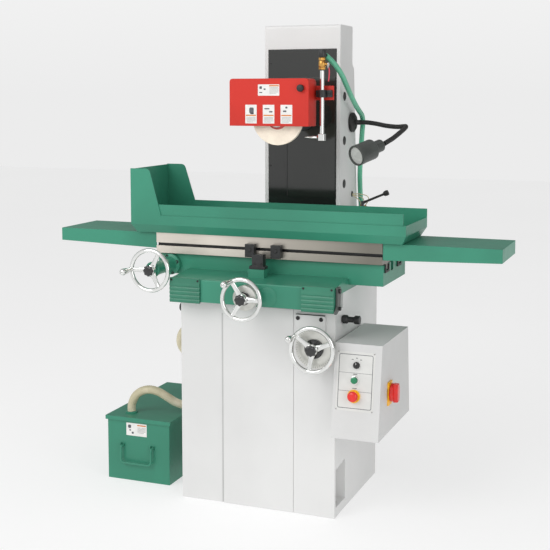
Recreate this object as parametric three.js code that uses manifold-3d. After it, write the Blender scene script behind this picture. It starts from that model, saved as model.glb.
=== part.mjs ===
// A manual surface grinder with a 460 x 152 mm worktable and a 178 mm wheel, in millimetres.
// +X runs along the table to the operator's right, +Y towards the column, +Z up.
// Lengths are first given from the machine's own datum: the base's front face is y = 0, its centre
// plane is x = 0 and the floor is z = 0. The group then moves them so that the origin is the middle
// of the footprint of the whole machine.
import * as THREE from "three";
import { mergeVertices } from "three/addons/utils/BufferGeometryUtils.js";
import Module from "manifold-3d";

const wasm = await Module();
wasm.setup();

// ---------- driving dimensions ----------
const GAP = 0.3; // between pieces that touch
const OVERALL = { front: -191.3, rear: 801.3, height: 1593 };
const BASE = { halfX: 270, depth: 466, top: 725, wall: 22, ledgeDepth: 74, ledgeZ: 674, foot: 1 };
const PEDESTAL = { halfX: 160, rear: 690, wall: 22 };
const COLUMN = { halfX: 141, front: 433, wall: 14, hollowHalfX: 118 };
const COLUMN_REAR = { foot: 660, kneeZ: 985, knee: 636, shoulderZ: 1450, shoulder: 594, top: 573 };
const PANEL = { halfX: 127, bottom: 740, top: 1509, thickness: 3.7 };
const SLIDE_PLATE = { left: -54, right: 124, bottom: 990, top: 1412, front: 428.5 };
const HEAD_TRAVEL = { down: 220, up: 70 };
const HEAD_BODY = { halfX: 104, front: 452, rear: 552, bottom: 1186, top: 1358 };
const HEAD_WAYS = { inner: 106, front: 484, rear: 536, bottom: 850, top: 1560 };
const MOTOR_BRACKET_SLOT = { halfX: 66, margin: 66 };
const SPINDLE = { z: 1272, noseRadius: 48, noseFront: 226, boreRadius: 30, motorRadius: 82 };
const WHEEL = { radius: 89, thickness: 13, boreRadius: 15.875, y: 197 };
const GUARD = { left: -160, right: 121, front: 160, rear: 236, bottom: 1247, top: 1404, wall: 3 };
const TABLE = { halfX: 398, front: 79, rear: 321, bottom: 816, top: 885, padHalfX: 230 };
const PAD = { front: 124, rear: 276, top: 900 };
const SLOT = { bottom: 841, top: 851 };
const TRAY = { halfX: 480, front: 52, rear: 329, bottom: 886.3, chamfer: 914, rim: 946, sheet: 3 };
const SPLASH = { frontTop: 983, rearTop: 975, top: 1103 };
const END_COVER = { end: 773, front: 82, rear: 320, top: 884.7, inner: 831, outer: 841 };
const CROSS_WAYS = { inner: 165, outer: 205, front: 90, rear: 455, rise: 12 };
const TABLE_WAYS = { front: [118, 146], rear: [268, 296], bottom: 797, play: 6 };
const SADDLE = { halfX: 282, front: -49, rear: 345, plateBottom: 738, skirtBottom: 728 };
const APRON = { back: -18, bottom: 681, top: 755, joint: 766 };
const WING = { halfX: 397, front: 95, rear: 367, bottom: 745, top: 813 };
const FLAP = { bottom: 677, top: 758, front: -57, leftInner: -174, rightInner: 175, ribs: 5 };
const HANDWHEEL = { tube: 7, hub: 17, bore: 8.3, hubDepth: 24 };
// firstSpoke and grip are angles from +X, seen by the operator.
const LONG_FEED = { x: -348, z: 778, wheelY: -66.5, rimRadius: 66.4, firstSpoke: Math.PI / 3, grip: Math.PI };
const CROSS_FEED = { x: 0, z: 714, wheelY: -122, rimRadius: 64, firstSpoke: 0, grip: (2 * Math.PI) / 3 };
const DOWN_FEED = {
  x: 218, z: 562, wheelY: -76, rimRadius: 69, firstSpoke: 0.12 * Math.PI, grip: 0.79 * Math.PI,
};
const LIFTING_BAR = { y: 70, z: 637 };
const BELT_TUNNEL = { left: -366, right: 18, front: 222, rear: 240, bottom: 759, top: 795 };
const PINION = { x: 0, z: 777, teeth: 12, pitchRadius: 12, addendum: 1.6, dedendum: 2.2 };
const ELEVATING_SCREW = { x: 65, y: 522, radius: 11 };
const CABINET = { left: 278, right: 431, bottom: 288, top: 582, frontTop: -25, frontBottom: -66 };
const CABINET_REAR = { top: 287, bottom: 315, door: 25.7, sheet: 4 };
const TANK = { left: -605, right: -351, front: 74, rear: 553, height: 227, lid: 14, sheet: 3 };
const PUMP = { x: -425, y: 480, radius: 45 };
const PIPE = { x: 149, y: 215, radius: 7.5, bottom: 1222, top: 1430 };
const LAMP = { y: 560, z: 1252, flangeRadius: 35, armRadius: 8.5 };
const HOSE = { coolantRadius: 9, drainRadius: 15 };
const DRAIN_SPIGOT = [-310, 240];
const DRAIN_INLET = [-534, 136];

// ---------- solids from three.js geometry ----------
function solid(geometry) {
  const bare = geometry.index ? geometry.toNonIndexed() : geometry.clone();
  bare.deleteAttribute("normal");
  bare.deleteAttribute("uv");
  const merged = mergeVertices(bare, 1e-3);
  const corners = new Uint32Array(merged.index.array);
  const build = () =>
    new wasm.Manifold(
      new wasm.Mesh({
        numProp: 3,
        vertProperties: merged.attributes.position.array,
        triVerts: corners,
      }),
    );
  const made = build();
  if (made.volume() > 0) return made;
  for (let i = 0; i < corners.length; i += 3) {
    [corners[i + 1], corners[i + 2]] = [corners[i + 2], corners[i + 1]];
  }
  return build();
}

const join = (first, ...rest) => rest.reduce((sum, piece) => sum.add(piece), first);
const cut = (body, ...tools) => tools.reduce((left, tool) => left.subtract(tool), body);

function box([x0, x1], [y0, y1], [z0, z1]) {
  const geometry = new THREE.BoxGeometry(x1 - x0, y1 - y0, z1 - z0);
  return solid(geometry.translate((x0 + x1) / 2, (y0 + y1) / 2, (z0 + z1) / 2));
}

// A box whose upper rectangle differs from its lower one: [x0, x1, y0, y1, z].
function tapered(lower, upper) {
  const geometry = new THREE.BoxGeometry(1, 1, 1);
  const at = geometry.attributes.position;
  for (let i = 0; i < at.count; i++) {
    const ends = at.getZ(i) > 0 ? upper : lower;
    at.setXYZ(i, at.getX(i) > 0 ? ends[1] : ends[0], at.getY(i) > 0 ? ends[3] : ends[2], ends[4]);
  }
  return solid(geometry);
}

// Turns geometry made about its own +Y so that +Y lies along the named axis.
function aimed(geometry, axis) {
  if (axis === "x") geometry.rotateZ(-Math.PI / 2);
  if (axis === "z") geometry.rotateX(Math.PI / 2);
  return geometry;
}

// A point from its place along an axis and its two other coordinates, in x, y, z order.
function placed(axis, along, [a, b]) {
  if (axis === "x") return [along, a, b];
  if (axis === "y") return [a, along, b];
  return [a, b, along];
}

function rod(axis, radius, from, to, centre, sides = 20) {
  const geometry = aimed(new THREE.CylinderGeometry(radius, radius, to - from, sides), axis);
  return solid(geometry.translate(...placed(axis, (from + to) / 2, centre)));
}

// A solid of revolution. The profile is a list of [radius, place along the axis].
function turned(axis, centre, profile, sides = 20) {
  const closed = [[0, profile[0][1]], ...profile, [0, profile.at(-1)[1]]];
  const geometry = new THREE.LatheGeometry(closed.map(([r, t]) => new THREE.Vector2(r, t)), sides);
  return solid(aimed(geometry, axis).translate(...placed(axis, 0, centre)));
}

// A closed outline whose corners are [a, b] or [a, b, radius].
function outline(corners) {
  const shape = new THREE.Shape();
  corners.forEach(([a, b, radius = 0], i) => {
    const here = new THREE.Vector2(a, b);
    const before = new THREE.Vector2(...corners.at(i - 1).slice(0, 2)).sub(here).setLength(radius);
    const next = corners[(i + 1) % corners.length].slice(0, 2);
    const after = new THREE.Vector2(...next).sub(here).setLength(radius);
    const start = before.add(here);
    const end = after.add(here);
    if (i) shape.lineTo(start.x, start.y);
    else shape.moveTo(start.x, start.y);
    if (radius) shape.quadraticCurveTo(a, b, end.x, end.y);
  });
  return shape;
}

// An outline carried along an axis. It lies in (y, z), (x, z) or (x, y).
function prism(axis, corners, from, to, curveSegments = 5) {
  const geometry = new THREE.ExtrudeGeometry(outline(corners), {
    depth: to - from,
    bevelEnabled: false,
    curveSegments,
  });
  const [x, y, z] = [new THREE.Vector3(1, 0, 0), new THREE.Vector3(0, 1, 0), new THREE.Vector3(0, 0, 1)];
  const turn = new THREE.Matrix4();
  if (axis === "x") turn.makeBasis(y, z, x).setPosition(from, 0, 0);
  if (axis === "y") turn.makeBasis(x, z, y.negate()).setPosition(0, to, 0);
  if (axis === "z") turn.makeTranslation(0, 0, from);
  return solid(geometry.applyMatrix4(turn));
}

// A round tube along a smooth curve through the points.
function tube(points, radius, sides = 10, steps = 12, tension = 0.5) {
  const section = new THREE.Shape();
  section.absarc(0, 0, radius, 0, 2 * Math.PI);
  const route = new THREE.CatmullRomCurve3(
    points.map((p) => new THREE.Vector3(...p)), false, "catmullrom", tension,
  );
  const geometry = new THREE.ExtrudeGeometry(section, {
    steps,
    curveSegments: sides / 4 + 1,
    bevelEnabled: false,
    extrudePath: route,
  });
  return solid(geometry);
}

// A turned solid about a line between two points in space; the profile runs from the first point.
function turnedBetween(start, end, profile, sides = 16) {
  const from = new THREE.Vector3(...start);
  const way = new THREE.Vector3(...end).sub(from).normalize();
  const closed = [[0, profile[0][1]], ...profile, [0, profile.at(-1)[1]]];
  const geometry = new THREE.LatheGeometry(closed.map(([r, t]) => new THREE.Vector2(r, t)), sides);
  const turn = new THREE.Quaternion().setFromUnitVectors(new THREE.Vector3(0, 1, 0), way);
  return solid(geometry.applyQuaternion(turn).translate(...start));
}

// ---------- materials ----------
const paint = (color, roughness = 0.45, metalness = 0) =>
  new THREE.MeshStandardMaterial({ color, roughness, metalness });
const FINISH = {
  white: paint(0xdcdcda),
  green: paint(0x2f8a6b),
  red: paint(0xd23a2a, 0.35),
  black: paint(0x2a2c2b, 0.4),
  grey: paint(0xb9b9b9),
  steel: paint(0xbab5ab, 0.35, 0.9),
  chrome: paint(0xd8d8d8, 0.12, 1),
  brass: paint(0xc79a4a, 0.3, 0.9),
  wheel: paint(0xefe3cf, 0.9),
  darkSteel: paint(0x55575a, 0.5, 0.7),
  hose: paint(0x62b593, 0.5),
  cream: paint(0xd9cfb4, 0.6),
};

const grinder = new THREE.Group();
grinder.position.set(0, -(OVERALL.front + OVERALL.rear) / 2, 0);

function add(name, body, finish) {
  const made = body.getMesh();
  const geometry = new THREE.BufferGeometry();
  geometry.setAttribute("position", new THREE.BufferAttribute(made.vertProperties, 3));
  geometry.setIndex(new THREE.BufferAttribute(made.triVerts, 1));
  geometry.computeVertexNormals();
  const mesh = new THREE.Mesh(geometry, FINISH[finish]);
  mesh.name = name;
  grinder.add(mesh);
}

const mirrored = (build) => join(build(1), build(-1));
const span = (side, near, far) => (side > 0 ? [near, far] : [-far, -near]);

// ---------- base ----------
function baseCasting() {
  const { halfX, depth, top, wall, ledgeDepth, ledgeZ, foot } = BASE;
  const pocket = { inner: 228, front: 12, rear: 110, floor: 32, low: 157, high: 166 };
  const panel = { left: -116, right: 129, step: 4, groove: 2 };
  const side = [[0, 0], [depth, 0], [depth, top], [ledgeDepth, top], [ledgeDepth, ledgeZ, 4], [0, ledgeZ, 6]];
  const { inner, outer, front, rear, rise } = CROSS_WAYS;
  const rails = mirrored((s) => box(span(s, inner, outer), [front, rear], [top - 1, top + rise]));
  const pedestal = box([-PEDESTAL.halfX, PEDESTAL.halfX], [depth - 6, PEDESTAL.rear], [0, top]);
  const hollows = [
    box([wall - halfX, halfX - wall], [wall, depth - wall], [-1, 630]),
    box([wall - halfX, halfX - wall], [ledgeDepth + wall, depth - wall], [600, top - 25]),
    box(
      [PEDESTAL.wall - PEDESTAL.halfX, PEDESTAL.halfX - PEDESTAL.wall],
      [440, PEDESTAL.rear - PEDESTAL.wall],
      [-1, 700],
    ),
  ];
  const cornerBlocks = mirrored(
    (s) => box(span(s, 215, halfX - 1), [1, pocket.rear + 18], [0, pocket.high + 16]),
  );
  const pockets = mirrored((s) =>
    prism(
      "x",
      [
        [pocket.front, pocket.floor], [pocket.rear, pocket.floor], [pocket.rear, pocket.high],
        [pocket.front, pocket.low],
      ],
      ...span(s, pocket.inner, halfX + 1),
    ),
  );
  const boltHoles = mirrored((s) => rod("z", 9, -1, pocket.floor + 1, [s * 250, 61], 20));
  return cut(
    join(cut(join(prism("x", side, -halfX, halfX), pedestal, rails), ...hollows), cornerBlocks),
    pockets,
    boltHoles,
    box([-halfX + 60, halfX - 60], [-1, depth + 1], [-1, foot]),
    box([-halfX - 1, halfX + 1], [60, depth - 60], [-1, foot]),
    box([-halfX - 1, panel.left], [-1, panel.step], [-1, ledgeZ + 1]),
    box([panel.right, panel.right + panel.groove], [-1, 2.5], [-1, ledgeZ + 1]),
    box([-18, 18], [ledgeDepth - 5, 400], [690, top + 6]),
    rod("y", 14, -1, wall + 1, [DOWN_FEED.x, DOWN_FEED.z], 24),
    rod("x", 10.3, -halfX - 1, halfX + 1, [LIFTING_BAR.y, LIFTING_BAR.z], 24),
    rod("z", 14, 690, top + 1, [ELEVATING_SCREW.x, ELEVATING_SCREW.y], 24),
  );
}
add("base_casting", baseCasting(), "white");

add(
  "lifting_bar",
  turned("x", [LIFTING_BAR.y, LIFTING_BAR.z], [
    [14, -303], [14, -291], [9, -289], [9, -284], [14, -282], [14, -272],
    [10, -271.5], [10, 272.5], [14, 273], [14, 287], [9, 291], [9, 309], [14, 313], [14, 329],
  ], 14),
  "black",
);

add(
  "feed_plate",
  cut(
    join(
      prism("y", [[139, 496, 8], [238, 496, 8], [238, 657, 6], [139, 657, 6]], -8, -GAP),
      turned("y", [DOWN_FEED.x, DOWN_FEED.z], [[19, -6], [19, -23]]),
    ),
    rod("y", 10.3, -24, 1, [DOWN_FEED.x, DOWN_FEED.z], 24),
  ),
  "white",
);

// ---------- column ----------
function columnCasting() {
  const { halfX, front, wall, hollowHalfX } = COLUMN;
  const { foot, kneeZ, knee, shoulderZ, shoulder, top } = COLUMN_REAR;
  const bottom = BASE.top + GAP;
  const height = OVERALL.height;
  const side = [
    [front, bottom], [foot, bottom], [knee, kneeZ, 40], [shoulder, shoulderZ - 6, 6],
    [top, shoulderZ + 10, 8], [top, height, 9], [front, height, 10],
  ];
  const inside = [
    [front + wall, 740], [front + wall, 1574], [top - wall, 1574], [top - wall, shoulderZ],
    [shoulder - wall, 1436],
    [knee - wall, kneeZ], [foot - wall, 740],
  ];
  const ways = mirrored((s) =>
    box(
      span(s, HEAD_WAYS.inner, hollowHalfX + 1),
      [HEAD_WAYS.front, HEAD_WAYS.rear],
      [HEAD_WAYS.bottom, HEAD_WAYS.top],
    ),
  );
  const motorSlot = [
    SPINDLE.z - HEAD_TRAVEL.down - MOTOR_BRACKET_SLOT.margin,
    SPINDLE.z + HEAD_TRAVEL.up + MOTOR_BRACKET_SLOT.margin,
  ];
  return cut(
    join(cut(prism("x", side, -halfX, halfX, 6), prism("x", inside, -hollowHalfX, hollowHalfX)), ways),
    box([-108, 108], [front - 5, front + wall + 1], [850, 1500]),
    box(
      [-PANEL.halfX - 0.5, PANEL.halfX + 0.5],
      [front - 1, front + PANEL.thickness + GAP],
      [PANEL.bottom - 1, PANEL.top + 0.5],
    ),
    box([-MOTOR_BRACKET_SLOT.halfX, MOTOR_BRACKET_SLOT.halfX], [550, foot], motorSlot),
    rod("z", 14, BASE.top - 5, 745, [ELEVATING_SCREW.x, ELEVATING_SCREW.y], 24),
  );
}
add("column_casting", columnCasting(), "white");

add(
  "column_front_panel",
  cut(
    box(
      [-PANEL.halfX, PANEL.halfX],
      [COLUMN.front, COLUMN.front + PANEL.thickness],
      [PANEL.bottom + 1, PANEL.top],
    ),
    box(
      [-52, 52],
      [COLUMN.front - 1, COLUMN.front + 9],
      [SPINDLE.z - HEAD_TRAVEL.down - 56, SPINDLE.z + HEAD_TRAVEL.up + 56],
    ),
  ),
  "black",
);

add(
  "elevating_screw",
  turned("z", [ELEVATING_SCREW.x, ELEVATING_SCREW.y], [
    [10.5, 572], [10.5, 642], [13, 643], [13, 660], [ELEVATING_SCREW.radius, 661],
    [ELEVATING_SCREW.radius, 1490],
  ], 20),
  "steel",
);

// ---------- electrical cabinet ----------
const cabinetSlope = (CABINET.frontTop - CABINET.frontBottom) / (CABINET.top - CABINET.bottom);
const cabinetFront = (z) => CABINET.frontBottom + cabinetSlope * (z - CABINET.bottom);

function cabinetShell() {
  const { left, right, bottom, top } = CABINET;
  const { door, sheet } = CABINET_REAR;
  const seam = (z) => cabinetFront(z) + door + GAP;
  const outer = [
    [seam(bottom), bottom], [CABINET_REAR.bottom, bottom], [CABINET_REAR.top, top], [seam(top), top],
  ];
  const inner = [
    [seam(bottom) - 8, bottom + sheet], [CABINET_REAR.bottom - sheet, bottom + sheet],
    [CABINET_REAR.top - sheet, top - sheet], [seam(top) - 8, top - sheet],
  ];
  const feet = [330, 530].map((z) => box([BASE.halfX + GAP, left + 1], [90, 210], [z, z + 30]));
  return cut(
    join(prism("x", outer, left, right), ...feet),
    prism("x", inner, left + sheet, right - sheet),
    rod("x", 7, right - sheet - 1, right + 1, [57, 417], 20),
    rod("z", 11, bottom - 1, bottom + sheet + 1, [354, 250], 20),
  );
}
add("cabinet_shell", cabinetShell(), "grey");

function cabinetDoor() {
  const { left, right, bottom, top } = CABINET;
  const { door, sheet } = CABINET_REAR;
  const front = cabinetFront;
  const outer = [
    [front(bottom), bottom], [front(bottom) + door, bottom], [front(top) + door, top], [front(top), top],
  ];
  const inner = [
    [front(bottom + sheet) + sheet, bottom + sheet], [front(bottom + sheet) + door + 8, bottom + sheet],
    [front(top - sheet) + door + 8, top - sheet], [front(top - sheet) + sheet, top - sheet],
  ];
  const holes = CONTROLS.map(({ x, z, stem }) => stemHole(x, z, stem + 0.4));
  return cut(prism("x", outer, left, right), prism("x", inner, left + sheet, right - sheet), ...holes);
}

// The controls stand square to the sloping door. Each profile is [radius, distance out of the door].
const CONTROLS = [
  {
    name: "selector_switch", x: 351, z: 517, stem: 7,
    profile: [[7, -18], [7, 1], [10.8, 1], [10.4, 9], [9, 11]], finish: "black",
  },
  {
    name: "start_button", x: 347, z: 471, stem: 7,
    profile: [[7, -18], [7, 7], [10.5, 7], [10.5, 12], [9, 13]], finish: "green",
  },
  {
    name: "emergency_stop_button", x: 347, z: 422, stem: 8,
    profile: [[8, -18], [8, 9], [14, 9], [16.5, 13], [16.5, 20], [12, 25]], finish: "red",
  },
];

function doorNormal(x, z) {
  const out = new THREE.Vector3(0, -1, cabinetSlope).normalize();
  const foot = new THREE.Vector3(x, cabinetFront(z), z);
  return { start: foot.toArray(), end: foot.clone().add(out).toArray() };
}

function stemHole(x, z, radius) {
  const { start, end } = doorNormal(x, z);
  return turnedBetween(start, end, [[radius, -12], [radius, 3]], 20);
}

add("cabinet_door", cabinetDoor(), "grey");
for (const { name, x, z, profile, finish } of CONTROLS) {
  const { start, end } = doorNormal(x, z);
  add(name, turnedBetween(start, end, profile, 20), finish);
}

add(
  "isolator_handle",
  join(
    turned(
      "x", [57, 417], [[6, CABINET.right - 14], [6, 434], [28, 434], [30, 438], [30, 446], [24, 450]], 24,
    ),
    box([448, 462], [51, 63], [392, 442]),
  ),
  "red",
);

// ---------- coolant tank and pump ----------
const lidBottom = TANK.height - TANK.lid;
add(
  "coolant_tank",
  cut(
    box([TANK.left + 6, TANK.right - 6], [TANK.front + 6, TANK.rear - 6], [0, lidBottom + 10]),
    box([TANK.left + 9, TANK.right - 9], [TANK.front + 9, TANK.rear - 9], [TANK.sheet, TANK.height]),
  ),
  "green",
);

add(
  "tank_lid",
  cut(
    join(
      cut(
        box([TANK.left, TANK.right], [TANK.front, TANK.rear], [lidBottom, TANK.height]),
        box(
          [TANK.left + 3, TANK.right - 3],
          [TANK.front + 3, TANK.rear - 3],
          [lidBottom - 1, TANK.height - TANK.sheet],
        ),
      ),
      turned("z", DRAIN_INLET, [[22, TANK.height - 1], [22, TANK.height + 4], [19, TANK.height + 6]], 20),
    ),
    rod("z", 32, TANK.height - 4, TANK.height + 1, [PUMP.x, PUMP.y], 24),
    rod("z", 11, TANK.height - 4, TANK.height + 7, DRAIN_INLET, 16),
  ),
  "green",
);

add(
  "coolant_pump",
  join(
    turned("z", [PUMP.x, PUMP.y], [
      [24, 60], [28, 66], [28, TANK.height], [28, TANK.height + GAP], [56, TANK.height + GAP], [56, 235],
      [34, 237],
      [34, 268], [PUMP.radius, 272], [PUMP.radius, 380], [40, 392], [26, 396],
    ], 20),
    rod("x", 8, PUMP.x + 20, -366, [PUMP.y, 254], 16),
  ),
  "black",
);

function wireHandle() {
  const y = TANK.front - 2;
  const [left, right, low, high] = [-540, -423, 66, 126];
  const corner = 12;
  const route = [
    [left, y + 4, high], [left, y - 4, high - 6], [left, y - 6, low + corner + 8],
    [left, y - 6, low + corner],
    [left + corner * 0.3, y - 6, low + corner * 0.3], [left + corner, y - 6, low],
    [left + corner + 8, y - 6, low],
    [right - corner - 8, y - 6, low], [right - corner, y - 6, low],
    [right - corner * 0.3, y - 6, low + corner * 0.3],
    [right, y - 6, low + corner], [right, y - 6, low + corner + 8], [right, y - 4, high - 6],
    [right, y + 4, high],
  ];
  return tube(route, 4, 6, 36, 0.4);
}
add("tank_handle", wireHandle(), "green");

// ---------- lubrication pump on the column's side ----------
const LUBE = {
  x: 186, y: 572, bottom: 868, pivotZ: 962,
  knobRoot: [263, 572, 995.5], knob: [280, 572, 1003],
};
add(
  "lube_pump",
  join(
    turned(
      "z",
      [LUBE.x, LUBE.y],
      [[24, LUBE.bottom], [26, LUBE.bottom + 3], [26, 930], [20, 934], [20, 948], [14, 950]],
      24,
    ),
    box([COLUMN.halfX + GAP, LUBE.x], [LUBE.y - 9, LUBE.y + 9], [892, 924]),
    box([LUBE.x - 5, LUBE.x + 5], [LUBE.y - 12, LUBE.y - 5.5], [940, LUBE.pivotZ + 8]),
  ),
  "darkSteel",
);
add(
  "lube_lever",
  join(
    turnedBetween(
      [LUBE.x - 6, LUBE.y, LUBE.pivotZ - 2], LUBE.knob, [[5.5, 0], [5.5, 14], [4.5, 18], [4.5, 92]], 8,
    ),
    turnedBetween(LUBE.knobRoot, LUBE.knob, [[4, 0], [10, 6], [10, 22], [5, 27]], 12),
    rod("y", 6, LUBE.y - 4.7, LUBE.y + 5, [LUBE.x, LUBE.pivotZ], 16),
  ),
  "darkSteel",
);

// ---------- machine lamp ----------
add(
  "lamp_base",
  cut(
    turned(
      "x",
      [LAMP.y, LAMP.z],
      [[LAMP.flangeRadius, COLUMN.halfX + GAP], [LAMP.flangeRadius, 153], [28, 158], [14, 160]],
      28,
    ),
    rod("x", 9.3, 150, 162, [LAMP.y, LAMP.z], 20),
  ),
  "black",
);

const LAMP_JOINT = [322, 358, 1186];
add(
  "lamp_arm",
  join(
    turned("x", [LAMP.y, LAMP.z], [[9, 151], [9, 176], [8, 178]], 20),
    tube(
      [
        [172, 560, 1252], [200, 559, 1252], [235, 556, 1248], [275, 551, 1241], [315, 542, 1238],
        [344, 527, 1240],
        [358, 505, 1240], [357, 478, 1231], [348, 440, 1216], [338, 405, 1202], [330, 380, 1194], LAMP_JOINT,
      ],
      LAMP.armRadius, 8, 24,
    ),
  ),
  "black",
);

const LAMP_FRONT = [256, 247, 1149];
const headPoint = (share) => LAMP_JOINT.map((c, i) => c + (LAMP_FRONT[i] - c) * share);
const headLength = Math.hypot(...LAMP_FRONT.map((c, i) => c - LAMP_JOINT[i]));
add(
  "lamp_head",
  cut(
    turnedBetween(headPoint(0), LAMP_FRONT, [
      [9, 9], [19, 15], [21, 19], [21, 48], [31, 56], [35, 62], [35, headLength - 2], [33, headLength],
    ], 20),
    turnedBetween(headPoint(0), LAMP_FRONT, [[12, 70], [30, headLength - 6], [31, headLength + 2]], 20),
    lampSwitchPocket(),
  ),
  "black",
);

// The rocker switch sits in a shallow pocket on the side of the lamp head that faces the operator.
function lampSwitchFrame() {
  const way = new THREE.Vector3(...LAMP_FRONT).sub(new THREE.Vector3(...LAMP_JOINT)).normalize();
  const facing = new THREE.Vector3(0.35, -1, 0.75);
  const out = facing.clone().addScaledVector(way, -facing.dot(way)).normalize();
  const across = new THREE.Vector3().crossVectors(way, out);
  return new THREE.Matrix4().makeBasis(way, across, out).setPosition(...headPoint(0.25));
}
function lampSwitchPocket() {
  return solid(new THREE.BoxGeometry(17, 11, 8).translate(0, 0, 20.5).applyMatrix4(lampSwitchFrame()));
}
add(
  "lamp_switch",
  solid(new THREE.BoxGeometry(15.6, 9.6, 5.5).translate(0, 0, 20.3).applyMatrix4(lampSwitchFrame())),
  "red",
);

// ---------- saddle ----------
function saddleCasting() {
  const { halfX, front, rear, plateBottom, skirtBottom } = SADDLE;
  const belt = BELT_TUNNEL;
  const side = [
    [front, APRON.bottom, 3], [APRON.back, APRON.bottom], [APRON.back, plateBottom], [rear, plateBottom],
    [rear, APRON.joint], [WING.front, APRON.joint], [front, APRON.top, 5],
  ];
  const skirts = mirrored(
    (s) => box(span(s, halfX - 10, halfX), [APRON.back - 1, rear], [skirtBottom, plateBottom + 1]),
  );
  const wing = box([-WING.halfX, WING.halfX], [WING.front, WING.rear], [WING.bottom, WING.top]);
  const stopFoot = box([-35, 20], [20, 52], [APRON.top, 788]);
  const screwBoss = rod("y", 26, -60, front + 2, [CROSS_FEED.x, CROSS_FEED.z], 28);
  const drainSpigot = turned("z", DRAIN_SPIGOT, [[13, 724], [13, 742], [20, 742], [20, WING.bottom + 1]], 20);
  const along = [-WING.halfX - 1, WING.halfX + 1];
  return cut(
    join(prism("x", side, -halfX, halfX), skirts, wing, stopFoot, screwBoss, drainSpigot),
    ...[TABLE_WAYS.front, TABLE_WAYS.rear].map(([near, far]) =>
      box(along, [near - TABLE_WAYS.play, far + TABLE_WAYS.play], [TABLE_WAYS.bottom - 2, WING.top + 1]),
    ),
    box(along, [186, 214], [784, WING.top + 1]),
    rod("y", 12.6, WING.front - 1, 130, [LONG_FEED.x, LONG_FEED.z], 24),
    rod("y", 9.3, 120, 250, [LONG_FEED.x, LONG_FEED.z], 24),
    box([belt.left, belt.right], [belt.front, belt.rear], [belt.bottom, belt.top]),
    box([-17, 17], [180, 223], [760, 786]),
    rod("y", 8.3, 176, 250, [PINION.x, PINION.z], 20),
    rod("y", 9.8, -61, APRON.back + 1, [CROSS_FEED.x, CROSS_FEED.z], 24),
    box([-14, 14], [APRON.back, SADDLE.rear + 1], [skirtBottom, plateBottom + 1]),
  );
}
add("saddle_casting", saddleCasting(), "green");

// A ribbed flap that covers the end of a cross way.
function wayFlap(left, right) {
  const { bottom, top, front, ribs } = FLAP;
  const back = SADDLE.front - GAP;
  const pitch = (top - 16 - bottom) / ribs;
  const corners = [[back, bottom], [back, top], [front + 2, top], [front + 2, top - 14]];
  for (let i = 0; i < ribs; i++) {
    const high = top - 16 - i * pitch;
    corners.push([front, high - pitch * 0.3], [front, high - pitch * 0.75], [front + 2.5, high - pitch]);
  }
  return prism("x", corners, left, right);
}
add("left_way_flap", wayFlap(-SADDLE.halfX, FLAP.leftInner), "green");
add("right_way_flap", wayFlap(FLAP.rightInner, SADDLE.halfX), "green");

add(
  "stop_block",
  join(box([-33, 22], [22, 50], [788 + GAP, 798]), box([-24, 15], [24, 50], [797, 836])),
  "black",
);

add(
  "saddle_lock_lever",
  join(
    prism(
      "x", [[-40, 756, 6], [-8, 756, 6], [-10, 686, 6], [-46, 674, 3], [-57, 676, 3], [-40, 700]], 284, 290,
    ),
    rod("x", 8, SADDLE.halfX + GAP, 296, [-24, 744], 16),
    rod("x", 6, SADDLE.halfX + GAP + 1, 297, [-26, 689], 16),
  ),
  "black",
);

// ---------- longitudinal feed ----------
const longAxis = [LONG_FEED.x, LONG_FEED.z];
add(
  "long_feed_bracket",
  cut(
    turned("y", longAxis, [
      [26, -49], [26, -42], [22, -38], [22, 62], [27, 76], [36, 80], [36, WING.front - GAP],
    ], 24),
    rod("y", 9.3, -60, WING.front + 1, longAxis, 24),
  ),
  "green",
);

add(
  "long_feed_shaft",
  turned(
    "y",
    longAxis,
    [[8, -77], [8, -50.5], [9, -50], [9, 223], [12.2, 224], [12.2, 238], [8, 239], [8, 249]],
    24,
  ),
  "steel",
);

// Straight-sided teeth, thin enough to run with clear backlash.
function pinionOutline() {
  const { teeth, pitchRadius, addendum, dedendum } = PINION;
  const step = (2 * Math.PI) / teeth;
  const at = (radius, half, middle, side) => {
    const angle = middle + side * Math.asin(half / radius);
    return [PINION.x + radius * Math.sin(angle), PINION.z + radius * Math.cos(angle)];
  };
  const corners = [];
  for (let i = 0; i < teeth; i++) {
    corners.push(
      at(pitchRadius - dedendum, 1.3, i * step, -1), at(pitchRadius + addendum, 0.5, i * step, -1),
    );
    corners.push(at(pitchRadius + addendum, 0.5, i * step, 1), at(pitchRadius - dedendum, 1.3, i * step, 1));
  }
  return corners;
}
add(
  "pinion_shaft",
  join(
    prism("y", pinionOutline(), 188, 212),
    turned("y", [PINION.x, PINION.z], [[8, 178], [8, 223], [12.2, 224], [12.2, 238], [8, 239], [8, 249]], 24),
  ),
  "steel",
);

function tableRack() {
  const pitch = (2 * Math.PI * PINION.pitchRadius) / PINION.teeth;
  const line = PINION.z + PINION.pitchRadius;
  const halfTeeth = 39;
  const slope = Math.tan(Math.PI / 9);
  const half = pitch / 4;
  const corners = [
    [(halfTeeth + 1) * pitch, TABLE.bottom - GAP], [-(halfTeeth + 1) * pitch, TABLE.bottom - GAP],
  ];
  corners.push([-(halfTeeth + 1) * pitch, line + PINION.dedendum]);
  for (let i = -halfTeeth; i <= halfTeeth - 1; i++) {
    const middle = (i + 0.5) * pitch;
    corners.push([middle - half - slope * PINION.dedendum, line + PINION.dedendum]);
    corners.push([middle - half + slope * PINION.addendum, line - PINION.addendum]);
    corners.push([middle + half - slope * PINION.addendum, line - PINION.addendum]);
    corners.push([middle + half + slope * PINION.dedendum, line + PINION.dedendum]);
  }
  corners.push([(halfTeeth + 1) * pitch, line + PINION.dedendum]);
  return prism("y", corners, 190, 210);
}
add("table_rack", tableRack(), "steel");

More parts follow.
